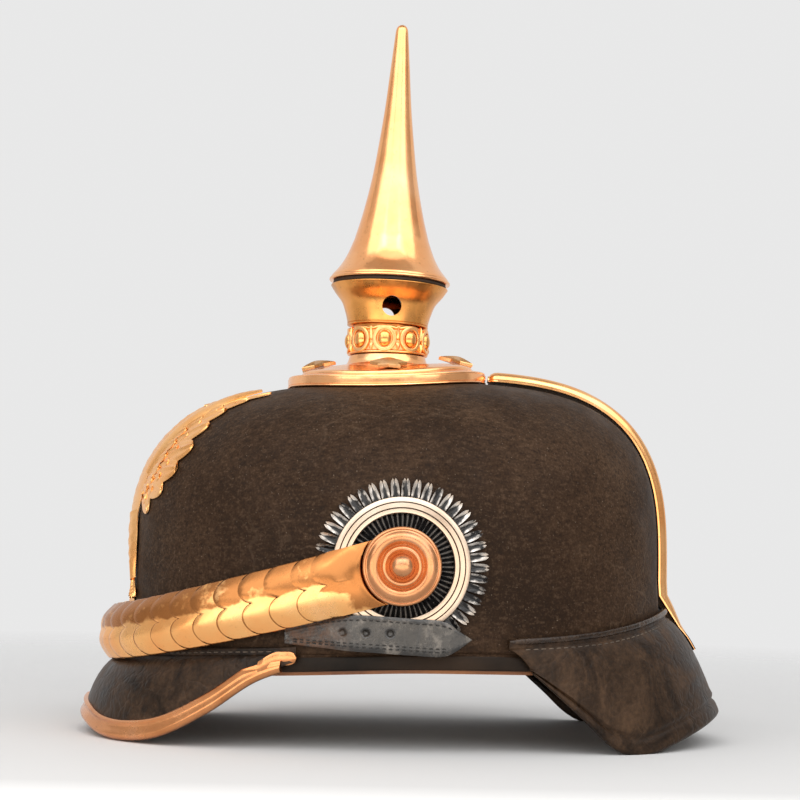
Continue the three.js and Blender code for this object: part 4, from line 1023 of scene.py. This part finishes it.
def feather(root, tip, width, lift, crest, side, grooves=0, bend=0.0, blunt=0.55):
    """One leaf-shaped feather with a shaft and barbs, laid on the skull. root and tip are (turn, climb)."""
    rows, columns = 24, 17
    u = np.linspace(0, 1, rows)[:, None] ** 0.9
    v = np.linspace(-1, 1, columns)[None, :]
    root, tip = np.array(root, float), np.array(tip, float)
    along = tip - root
    scale = np.array([math.cos(math.radians((root[1] + tip[1]) / 2)), 1.0])
    across = np.array([-along[1] / scale[0], along[0] * scale[0]])
    across = across / max(np.linalg.norm(across * scale), 1e-6)
    round_tip = np.clip((u - blunt) / (1 - blunt), 0, 1) ** 2
    shape = np.minimum(1, 0.62 + 0.6 * u) * np.sqrt(np.clip(1 - round_tip, 0.0, 1))
    sweep = bend * np.sin(u * math.pi)
    turn = root[0] + along[0] * u + across[0] * (v * width * shape + sweep)
    climb = root[1] + along[1] * u + across[1] * (v * width * shape + sweep)
    if grooves:
        barbs = 0.5 + 0.5 * np.cos(2 * math.pi * (u * grooves + np.abs(v) * 1.4))
    else:
        barbs = 0.9 * np.cos(2 * math.pi * v * 1.5)
    dome = 1 - v ** 2
    shaft = np.exp(-(v / 0.13) ** 2) * (1 - 0.5 * u)
    top = lift + crest * (0.25 + 0.75 * u) * (0.35 + 0.65 * dome) + 0.16 * barbs * dome + 0.32 * shaft
    return relief(side, turn, climb, top, lift)


def merged(name, sheets, material, **kw):
    """Several closed sheets as one object."""
    verts, faces = [], []
    for front, back in sheets:
        base = sum(len(v) for v in verts)
        faces += shell_faces(*front.shape[:2], False, base)
        verts += [front.reshape(-1, 3), back.reshape(-1, 3)]
    return piece(name, np.concatenate(verts), faces, material, **kw)


def between(table, t):
    """Feather root and tip at a place along the fan."""
    k = min(int(t), len(table) - 2)
    f = t - k
    root = [lerp(table[k][0][i], table[k + 1][0][i], f) for i in (0, 1)]
    tip = [lerp(table[k][1][i], table[k + 1][1][i], f) for i in (0, 1)]
    return root, tip


def blob(rows, lift, columns, ripple=None):
    """A rounded relief from rows of (climb, left, right, rise), in degrees and millimetres."""
    climb = np.linspace(rows[0][0], rows[-1][0], 46)[:, None]
    left, right, rise = (curve([(r[0], r[k]) for r in rows], climb) for k in (1, 2, 3))
    v = np.linspace(-1, 1, columns)[None, :]
    turn = np.where(v < 0, v * left, v * right)
    top = lift + 0.3 + rise * (1 - np.abs(v) ** 2.0)
    if ripple is not None:
        top = top + ripple(turn, climb, v)
    return relief(1, turn, climb, top, lift)


def build_eagle():
    sheets = []
    for side in (1, -1):
        # Flight feathers, laid from the top of the wing down so that each covers the next.
        for (root, tip), wide, crest in zip(FEATHERS, WIDTHS, CRESTS):
            sheets.append(feather(root, tip, wide, 0.5, crest, side, bend=0.9))
        # Two rows of coverts over their roots.
        for row, (share, size, lift) in enumerate(((0.62, 1.8, 0.9), (0.4, 1.6, 1.3))):
            for k in range(9):
                root, tip = between(FEATHERS, 0.45 + k * (6.3 / 8))
                start, end = ([lerp(root[i], tip[i], at) for i in (0, 1)] for at in (share - 0.34, share))
                sheets.append(feather(start, end, size, lift * (0.75 if k < 2 else 1), 0.6, side,
                    bend=0.4, blunt=0.6))
        # The arm of the wing, from the breast up to the bend and along its front edge.
        u, turn, climb, wide = limb([(9, 24, 2.2), (11, 32, 2.7), (13.5, 40, 2.9), (16.5, 46, 2.6),
            (19.5, 50.2, 2.0), (22, 52.2, 1.2)], 30)
        v = np.linspace(-1, 1, 13)[None, :]
        scales = 0.22 * np.abs(np.sin(u * 26 + np.sign(v) * 0.8)) * (1 - v ** 2)
        top = 1.2 + (1.5 - 0.9 * step(u, 0.55, 1)) * (1 - v ** 2) + scales
        sheets.append(relief(side, turn + v * wide * 1.15, climb - v * wide * 0.35, top, 0.8))
    # Tail: a fan of straight feathers below the body.
    for k in range(9):
        fan = (k - 4) / 4
        sheets.append(feather((fan * 3.5, 6), (fan * 11.4, -10.4 + 2.6 * abs(fan) ** 2), 1.75,
            0.55 + 0.35 * (1 - abs(fan)), 0.75, 1, grooves=10, blunt=0.75))
    # Legs with feathered thighs and talons, spread over the tail.
    for side in (1, -1):
        u, turn, climb, wide = limb([(5.2, 15, 2.4), (7.6, 10.5, 2.9), (9.4, 6.5, 2.1), (10.4, 3.4, 1.2),
            (10.8, 1.2, 1.1)], 24)
        v = np.linspace(-1, 1, 13)[None, :]
        fluff = 0.2 * np.cos(u * 40 + 2 * v) * (1 - v ** 2) * (u < 0.62)
        top = 1.1 + (2.5 - 1.0 * u) * (1 - v ** 2) + fluff
        sheets.append(relief(side, turn + v * wide, climb + v * wide * 0.45, top, 0.8))
        for toe in (-1.25, -0.4, 0.45, 1.3):
            sheets.append(feather((10.8, 1.6), (10.8 + toe * 1.9, -2.6 - 0.4 * (1 - abs(toe))), 0.62, 1.1,
                1.1, side, grooves=6, blunt=0.3))
    # Breast with scale feathers, neck and head turned to the wearer's left.
    def plumes(turn, climb, v):
        row = climb / 2.0
        shift = 0.5 * (np.floor(row) % 2)
        cell = (turn / 2.2 + shift) % 1.0 - 0.5
        rise = row % 1.0
        return 0.32 * (1 - rise) * np.clip(1 - (2 * cell) ** 2, 0, 1) * (1 - v ** 2)
    body = [(8, 3.2, 3.2, 1.8), (13, 6.8, 6.8, 2.3), (21, 8.8, 8.8, 2.5), (28, 8.2, 8.2, 2.4),
        (33, 5.4, 5.4, 2.3), (38, 3.6, 3.9, 2.3), (41, 3.6, 4.2, 2.2), (44, 3.3, 3.8, 1.9),
        (46.6, 1.5, 2.0, 0.8)]
    sheets.append(blob(body, 0.8, columns=25, ripple=plumes))
    # Beak and a comb of short plumes behind the head.
    sheets.append(feather((0.4, 43.8), (8.6, 41.6), 1.6, 1.5, 1.5, 1, bend=0.5, blunt=0.15))
    for k in range(6):
        sheets.append(feather((-1.2 - 0.2 * k, 46 - 1.9 * k), (-4.6 - 0.35 * k, 47.2 - 2.5 * k), 0.8, 0.9,
            0.8, 1, grooves=3, blunt=0.2))
    # A plain open crown above the head.
    sheets.append(blob([(45.8, 3.4, 3.4, 1.0), (46.6, 3.6, 3.6, 1.1), (47.2, 3.4, 3.4, 0.9)], 0.6,
        columns=13))
    for turn in (-3.0, 0, 3.0):
        sheets.append(feather((turn, 46.8), (turn * 1.25, 50.6 - 0.3 * abs(turn)), 0.95, 0.6, 0.9, 1,
            grooves=2, blunt=0.25))
    obj = merged("eagle_plate", sheets, gilt_relief, slot="gilt_brass", angle=30)
    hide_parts("front_plate")


# ---------------------------------------------------------------- cockades and bosses
POST_Y, POST_Z = -0.3, 70.3


def round_post(side, radius, angle, lift):
    radius, angle, lift = spread(radius, angle, lift)
    return on_side(side, POST_Y + radius * np.cos(angle), POST_Z + radius * np.sin(angle), lift)


PETALS, PLEATS = 45, 60
PETAL = [(0, 1.3), (0.35, 1.5), (0.6, 1.5), (0.82, 1.3), (0.95, 0.95), (1, 0.55)]


def build_cockade(side, label):
    """Rosette: 45 hollow folded petals outside the silver ring and 60 fine pleats inside it."""
    turn = np.arange(360) * math.pi / 180
    fold = np.abs(((turn * PLEATS / (2 * math.pi)) % 1.0) * 2 - 1)
    rows, wear_and_shade = [], []
    for r, high in ((9.0, 0.2), (12.0, 1.0), (15.5, 1.0), (18.8, 1.0), (19.4, 0.1), (24.0, 0.1)):
        rows.append(round_post(side, r, turn, 1.0 + 1.2 * fold * high))
        wear_and_shade.append(0.95 * fold ** 2 * (high == 1.0))
    front = np.array(rows)
    back = np.array([round_post(side, r, turn, 0.75) for r in np.linspace(9, 24, len(rows))])
    obj = sheet(f"cockade_{label}_pleats", front, back, lacquer, around=True, slot="black_metal", angle=25)
    store_wear_and_shade(obj, front, np.array(wear_and_shade))
    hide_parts(f"cockade_{label}")
    # Petals: hollow down the middle, standing up a little more towards the tip.
    s, v = places(10, 9)
    radius = lerp(22.4, 31.3, s) - 0.9 * step(s, 0.6, 1.0) * (1 - np.abs(v)) ** 1.5
    curl = step(s, 0.18, 0.55) * (1.25 - 0.35 * s)
    high = 1.25 + curl * np.abs(v) ** 1.3 + 0.35 * step(s, 0.3, 0.9)
    worn = np.clip(1.15 * np.abs(v) ** 1.1 * step(s, 0.15, 0.45) + 0.55 * step(s, 0.6, 0.9), 0,
        1) * (0.35 + 0.65 * (np.abs(v) > 0.2))
    petals = []
    for k in range(PETALS):
        swing = 2 * math.pi * k / PETALS + v * curve(PETAL, s) / radius
        petals.append((round_post(side, radius, swing, high), round_post(side, radius, swing, high - 0.45)))
    obj = merged(f"cockade_{label}_petals", petals, lacquer, slot="black_metal", angle=40)
    store_wear_and_shade(obj, np.array([front for front, back in petals]), np.array([worn] * PETALS))
    # Silver ring with two engraved lines and rolled edges.
    turn = np.arange(180) * 2 * math.pi / 180
    section = [(18.7, 0), (18.75, 0.6), (18.95, 0.95), (19.4, 1.1), (20.25, 1.12), (20.42, 0.55),
        (20.58, 0.55), (20.75, 1.14), (22.3, 1.18), (22.4, 0.58), (22.6, 0.58), (22.75, 1.16), (23.8, 1.1),
        (24.3, 0.92), (24.55, 0.6), (24.6, 0)]
    front = np.array([round_post(side, r, turn, 2.35 + up) for r, up in section])
    back = np.array([round_post(side, r, turn, 2.3) for r in np.linspace(18.7, 24.6, len(section))])
    obj = sheet(f"cockade_{label}_ring", front, back, silver, around=True, slot="silver", angle=25)
    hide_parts(f"cockade_ring_{label}")
    # Dark fill in the two engraved lines: dirt, and painted shade that makes the lines show.
    for k, (inner, outer, up) in enumerate(((20.34, 20.66, 0.72), (22.34, 22.66, 0.74))):
        front = np.array([round_post(side, r, turn, 2.35 + up) for r in (inner, outer)])
        back = np.array([round_post(side, r, turn, 2.7) for r in (inner, outer)])
        sheet(f"cockade_{label}_line_{k + 1}", front, back, painted_shade_and_grime, around=True)


def store_wear_and_shade(obj, points, values):
    """Store a value at each point of a mesh: wear of the black lacquer, and painted shade on the gilt scales.
    """
    flat = np.asarray(points, float).reshape(-1, 3)
    keys = {tuple(np.round(p, 2)): v for p, v in zip(flat, np.asarray(values, float).ravel())}
    attribute = obj.data.attributes.new("wear_and_shade", "FLOAT", "POINT")
    count = len(obj.data.vertices)
    coords = np.empty(count * 3)
    obj.data.vertices.foreach_get("co", coords)
    local = coords.reshape(-1, 3) / MM - SHIFT
    attribute.data.foreach_set("value", [float(keys.get(tuple(np.round(p, 2)), 0.0)) for p in local])


def build_boss(side, label):
    reach = 4.45
    profile = [(0.0, -reach), (2.4, -reach), (2.4, 0.0), (13.4, 0.0), (14.1, 0.3), (14.3, 0.8), (14.3, 1.9),
        (14.15, 2.5), (13.8, 2.85),
        (13.4, 2.9), (13.1, 2.7), (12.85, 2.75), (12.4, 3.2), (11.8, 3.75), (11.1, 4.15),
        (10.4, 4.3), (9.7, 4.2), (9.0, 3.85), (8.4, 3.3),
        (8.0, 2.85), (7.7, 2.75), (7.45, 2.95), (7.2, 3.5), (6.8, 3.85), (6.3, 3.9), (5.8, 3.6),
        (5.4, 3.1), (5.1, 2.9), (4.85, 3.1), (4.6, 3.9),
        (4.35, 4.8), (3.95, 5.7), (3.3, 6.6), (2.5, 7.25), (1.6, 7.65), (0.8, 7.78), (0.0, 7.8)]
    x0 = side * (89.8 + 0.65 + GAP)

    def place(p):
        return np.stack([x0 + side * p[..., 2], POST_Y + p[..., 0] * side, POST_Z + p[..., 1]], -1)
    obj = lathe(f"boss_{label}_turned", profile, gilt_painted_shade, segments=96, place=place, slot="gilt_brass",
        angle=40)
    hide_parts(f"chin_boss_{label}")


# ---------------------------------------------------------------- chin chain
CH = dict(side=89.8, front=112.4, low=41.4, half=11.8, narrow=1.2, tip=5, crest=4.3, metal=0.65,
    length=13.6, tilt=0.115, lobe=4.6, ear=4.4, count=13, first=25.4)


def chain_place(side, beta):
    forward = np.sin(beta)
    z = CH["low"] + (POST_Z - CH["low"]) * np.maximum(1 - forward, 0) ** 1.15
    return np.stack([side * CH["side"] * np.cos(beta), POST_Y - CH["front"] * forward, z], -1)


BETAS = np.linspace(0, math.pi / 2, 401)
RUNS = np.concatenate([[0], np.cumsum(np.linalg.norm(np.diff(chain_place(1, BETAS), axis=0), axis=1))])


def chain_point(side, run, b, h):
    run, b, h = spread(run, b, h)
    beta = np.interp(run, RUNS, BETAS)
    middle = chain_place(side, beta)
    nudge = 0.003
    tangent = unit(chain_place(side, np.minimum(beta + nudge, math.pi / 2))
        - chain_place(side, np.maximum(beta - nudge, 0)))
    out = unit(np.stack([side * np.cos(beta) / CH["side"], -np.sin(beta) / CH["front"],
        np.zeros_like(beta)], -1))
    out = unit(out - tangent * np.sum(out * tangent, -1, keepdims=True))
    across = np.cross(tangent, out)
    across = np.where(across[..., 2:] < 0, -across, across)
    tip = math.radians(CH["tip"]) * np.sin(beta)
    up = across * np.cos(tip)[..., None] - out * np.sin(tip)[..., None]
    away = out * np.cos(tip)[..., None] + across * np.sin(tip)[..., None]
    behind = np.minimum(run, 0)
    beyond = np.maximum(run - RUNS[-1], 0)
    return middle + tangent * (behind + beyond)[..., None] + up * b[..., None] + away * h[..., None]


PITCH = (RUNS[-1] - 0.3 - CH["length"] - CH["first"]) / (CH["count"] - 1)


def lobe_back(v):
    """How far a scale's free edge stays back from its two round lobes, across its width."""
    off = np.minimum(np.abs((np.abs(v) - 0.5) / 0.5), 1)
    depth = np.where(np.abs(v) < 0.5, 5.0, 4.9)
    return depth * (1 - np.sqrt(1 - 0.985 * off ** 2))


def scale_faces(side, start, end, tilt_from, half_at):
    u, v = places(11, 49)
    u = u ** 0.8
    stop = end - lobe_back(v)
    run = lerp(start + 0 * v, stop, u)
    rise = CH["tilt"] * np.maximum(run - tilt_from, 0)
    # Each lobe is a soft pillow with a shallow valley between the two.
    pillow = 0.4 * np.sin(math.pi * np.clip(np.abs(v) * 1.02, 0, 1)) ** 2 * step(u, 0.0, 0.7)
    edge = 0.35 * step(u, 0.86, 1.0)
    bulge = CH["crest"] * (1 - v * v)
    h = bulge + rise + pillow - edge
    b = v * half_at(run)
    return chain_point(side, run, b, h + CH["metal"]), chain_point(side, run, b, h)


def half_of(run):
    return CH["half"] - CH["narrow"] * (run / RUNS[-1])


def build_chain(side, label):
    def painted_shade(front, line):
        """Dark copper over the upper half of each plate, painted reflection of the dark above, and a dark
        line along its free edge, painted shade.
        """
        u, v = places(front.shape[0], front.shape[1])
        return np.clip(step(v, -0.12, 0.2) * 0.62 + 0 * u + line, 0, 1)
    for k in range(CH["count"]):
        start = CH["first"] + k * PITCH
        front, back = scale_faces(side, start, start + CH["length"], start, half_of)
        obj = sheet(f"scale_{label}_{k + 1:02d}", front, back, gilt_scales, slot="gilt_brass", angle=60)
        # The last row, at the free edge, takes the painted shade line.
        store_wear_and_shade(obj, front, painted_shade(front, 1.0 * (np.linspace(0, 1, front.shape[0])[:, None] > 0.985)))
        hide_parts(f"chin_scale_{label}_{k + 1:02d}")
    # First plate: eye round the post, a raised curved rim beside the boss, then the scale.
    start = CH["first"] - PITCH
    columns = 41
    v = np.linspace(-1, 1, columns)[None, :]
    rows_f, rows_b = [], []
    disc, waist, end = 12.2, 15.4, 31.4

    def add(run, b, h):
        rows_f.append(chain_point(side, run, b, h + CH["metal"])[0])
        rows_b.append(chain_point(side, run, b, h)[0])
    for share in (-1, -0.9, -0.75, -0.5, -0.25, 0):
        wide = disc * math.sqrt(1 - share * share * 0.94)
        add(disc * share + 0 * v, v * wide, 0 * v)
    edge = np.sqrt(waist ** 2 - (v * CH["half"]) ** 2)
    hump = CH["crest"] * (1 - v * v)
    for share in np.linspace(0.15, 1, 8):
        add((edge - 1.3) * share, v * lerp(disc, CH["half"], share), 0 * v)
    for off, up in ((-1.05, 0.1), (-0.95, 0.42), (-0.7, 0.62), (-0.3, 0.68), (0.8, 0.66), (2.2, 0.7)):
        add(edge + off, v * CH["half"], hump * up)
    for share in np.linspace(0.08, 1, 14) ** 0.9:
        stop = end - lobe_back(v)
        run = lerp(edge + 2.2, stop, share)
        rise = lerp(0.7, 1.0, step(share, 0, 0.6))
        pillow = 0.35 * np.sin(math.pi * np.clip(np.abs(v) * 1.02, 0, 1)) ** 2 * step(share, 0.2, 0.8)
        add(run, v * CH["half"], hump * rise + CH["tilt"] * np.maximum(run - start, 0) + pillow
            - 0.3 * step(share, 0.9, 1.0))
    front = np.array(rows_f)
    obj = sheet(f"terminal_{label}", front, np.array(rows_b), gilt_scales, slot="gilt_brass", angle=50)
    # Painted shade: dark copper over the upper half and towards the boss end.
    upper = step(np.linspace(-1, 1, columns)[None, :], -0.45, 0.0)
    near = 1 - step(np.arange(len(front))[:, None] / len(front), 0.55, 0.85)
    store_wear_and_shade(obj, front, np.clip(0.75 * upper + 0.6 * near, 0, 1))
    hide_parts(f"chin_terminal_{label}")


def build_strap():
    v = np.linspace(-1, 1, 9)[None, :]
    run = np.linspace(17.5, RUNS[-1], 90)[:, None]
    h_top = 1.2 - 0.25 * v ** 4
    halves = []
    for h in (h_top, h_top * 0 - 0.3):
        left = chain_point(1, run + 0 * v, 8.6 * v + 0 * run, h + 0 * run)
        right = chain_point(-1, run + 0 * v, 8.6 * v + 0 * run, h + 0 * run)[::-1]
        halves.append(np.concatenate([left, right[1:]]))
    obj = sheet("chin_strap_leather", halves[0], halves[1], black_strap, slot="strap_leather", angle=60)
    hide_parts("chin_strap")


TAIL = [(-41.4, 50, 41.2, 0.6), (-33.8, 50.8, 40.8, 0.6), (-27.8, 50.8, 40.4, 1.0), (-22.8, 51.6, 40, 2.5),
    (-16.8, 52.4, 39.6, 3.8), (-7.8, 52.3, 39.2, 4.0), (4.2, 51.6, 38.6, 4.0), (15.8, 50.4, 38.6, 3.8),
    (19.6, 48, 40.4, 3.0), (24.8, 44.7, 44.1, 2.0)]


def tail_line(y):
    return [curve([(r[0], r[k]) for r in TAIL], y) for k in (1, 2, 3)]


def build_tail():
    """Loose strap end: rounded edges, three punched holes, creases and a torn surface in front."""
    y = np.linspace(-41.4, 24.8, 133)[:, None]
    v = np.linspace(-1, 1, 33)[None, :]
    top, bottom, lift = tail_line(y)
    z = lerp(bottom, top, (v + 1) / 2)
    rounded = 0.55 * (1 - np.abs(v) ** 6)
    crease = (-0.3 * np.exp(-((y - 6.7 - 1.2 * v) / 0.7) ** 2)
        - 0.22 * np.exp(-((y - 10.4 + 0.8 * v) / 0.6) ** 2) - 0.2 * np.exp(-((y - 0.7) / 0.6) ** 2))
    bow = 0.35 * np.sin(y * 0.35) * 0.4
    torn = -0.35 * step(-y, 22, 32) * (0.5 + 0.5 * np.sin(v * 9 + y * 1.7) * np.cos(y * 2.3
        - v * 4)) * (np.abs(v) < 0.82)
    holes = sum(np.exp(-(((y - hy) ** 2 + (z - 46.2) ** 2) / 1.5) ** 2) for hy in (-20.4, -12.2, -3.8))
    h = lift + 1.15 + rounded + crease + bow + torn - 1.5 * holes
    front = on_side(1, y + 0 * v, z, np.maximum(h, lift + 0.25))
    back = on_side(1, y + 0 * v, z, lift + 0 * v)
    obj = sheet("strap_tail_leather", front, back, black_strap, slot="strap_leather", angle=60)
    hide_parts("strap_tail")
    for row, side_v, first in (("upper", 0.74, -39), ("lower", -0.74, -39), ("lower_inner", -0.56, -39)):
        yy = np.linspace(first, 17.7, 150)
        t, b, l = tail_line(yy)
        line = on_side(1, yy, lerp(b, t, (side_v + 1) / 2), l + 1.62)
        stitch_row(f"strap_tail_stitches_{row}", line, normal_at(line), dark_thread, length=1.5, gap=0.9,
            radius=0.24)


# ---------------------------------------------------------------- make it all
for build in (build_skull, build_sweatband, build_front_visor, build_rear_visor, build_visor_stitches,
        build_trim, build_spine, build_base_plate, build_stars, build_neck, build_spike, build_pearl_ring,
        build_eagle):
    build()
for side, label in ((1, "left"), (-1, "right")):
    build_cockade(side, label)
    build_boss(side, label)
    build_chain(side, label)
build_strap()
build_tail()


# ---------------------------------------------------------------- floor, lights, camera
def simple(name, colour):
    p = Paint(name)
    cloud = p.noise(3, 2, 0.4)
    tint = p.mix(cloud, colour, tuple(c * 0.985 for c in colour))
    return p.finish(Base_Color=tint, Roughness=0.9, Specular_IOR_Level=0.1)


def stage_mesh(name, verts, faces, material):
    mesh = bpy.data.meshes.new(name)
    mesh.from_pydata(verts, [], faces)
    for poly in mesh.polygons:
        poly.use_smooth = True
    mesh.materials.append(material)
    obj = bpy.data.objects.new(name, mesh)
    bpy.context.collection.objects.link(obj)
    return obj


def floor_paint():
    """Pale paper that fades into the light tent a little way from the helmet."""
    p = Paint("paper")
    reach = p.add("ShaderNodeVectorMath", {"Vector": p.add("ShaderNodeNewGeometry").outputs["Position"]},
        operation="LENGTH").outputs["Value"]
    near = p.range(p.split(p.where)[0], 0.17, 0.24, 0.0, 1.0)
    tint = p.mix(near, (0.63, 0.63, 0.63), (0.95, 0.95, 0.95))
    return p.finish(Base_Color=tint, Roughness=0.9, Specular_IOR_Level=0.1,
        Alpha=p.range(reach, 0.28, 0.85, 1.0, 0.0))


side_m = 1.2
stage_mesh("floor", [(-side_m, -side_m, 0), (side_m, -side_m, 0), (side_m, side_m, 0),
    (-side_m, side_m, 0)], [(0, 1, 2, 3)], floor_paint())


def card(name, place, facing, size, shade):
    """A grey card of the light tent, which the metal reflects and which never stands in front of a view."""
    z = Vector(facing).normalized()
    x = Vector((-z.y, z.x, 0)).normalized() if abs(z.z) < 0.99 else Vector((0, 1, 0))
    y = z.cross(x)
    corners = [Vector(place) + x * a * size[0] / 2 + y * b * size[1] / 2
        for a, b in ((-1, -1), (1, -1), (1, 1), (-1, 1))]
    obj = stage_mesh(name, corners, [(0, 1, 2, 3)], simple(name, (shade, shade * 0.97, shade * 0.94)))
    obj.visible_camera = False
    return obj


card("camera_card", (0.86, 0.0, 0.14), (-1, 0, 0), (0.55, 0.5), 0.62)
card("front_card", (0.1, -0.75, 0.25), (0, 1, 0), (0.7, 0.8), 0.55)
card("rear_card", (0.1, 0.75, 0.25), (0, -1, 0), (0.7, 0.8), 0.45)


def area(name, place, target, size, power, colour=(1, 1, 1)):
    lamp = bpy.data.lights.new(name, "AREA")
    lamp.shape, lamp.size, lamp.size_y = "RECTANGLE", size[0], size[1]
    lamp.energy, lamp.color = power, colour
    obj = bpy.data.objects.new(name, lamp)
    obj.location = place
    obj.rotation_euler = (Vector(target) - Vector(place)).to_track_quat("-Z", "Y").to_euler()
    bpy.context.collection.objects.link(obj)


card("top_card", (-0.05, 0.0, 0.95), (0, 0, -1), (0.7, 0.6), 0.6)
for angle, power in ((-52, 8.5), (0, 8.0), (52, 8.5)):
    turn = math.radians(angle)
    area(f"panel_{angle}", (1.3 * math.cos(turn), 1.3 * math.sin(turn), 1.1), (0, 0, 0.18), (1.25, 1.35),
        power)
area("roof", (0.72, 0, 1.5), (0, 0, 0.18), (1.5, 0.7), 3.4)
area("bounce", (0.42, -0.05, 0.012), (0.05, 0, 0.16), (1.0, 0.3), 1.7, (1.0, 0.90, 0.78))

world = bpy.data.worlds.new("tent")
bpy.context.scene.world = world
world.use_nodes = True
tree = world.node_tree
sky = tree.nodes["Background"]
sky.inputs["Color"].default_value = (0.81, 0.81, 0.81, 1)
sky.inputs["Strength"].default_value = 1.0

PSI, PITCH_UP, ROLL = math.radians(1.5), math.radians(4.7), math.radians(1.3)
camera_data = bpy.data.cameras.new("camera")
camera_data.lens, camera_data.sensor_width = 82.3, 36
camera = bpy.data.objects.new("camera", camera_data)
bpy.context.collection.objects.link(camera)
bpy.context.scene.camera = camera
eye = (arr(750 * math.cos(PSI), -750 * math.sin(PSI), 76) + SHIFT) * MM
look = Vector((-math.cos(PSI) * math.cos(PITCH_UP), math.sin(PSI) * math.cos(PITCH_UP), math.sin(PITCH_UP)))
right = Vector((math.sin(PSI), math.cos(PSI), 0))
above = right.cross(look)
right2 = right * math.cos(ROLL) + above * math.sin(ROLL)
above2 = above * math.cos(ROLL) - right * math.sin(ROLL)
turned = Matrix((right2, above2, -look)).transposed().to_4x4()
camera.matrix_world = Matrix.Translation(Vector(eye)) @ turned

bpy.context.scene.view_settings.view_transform = "Standard"
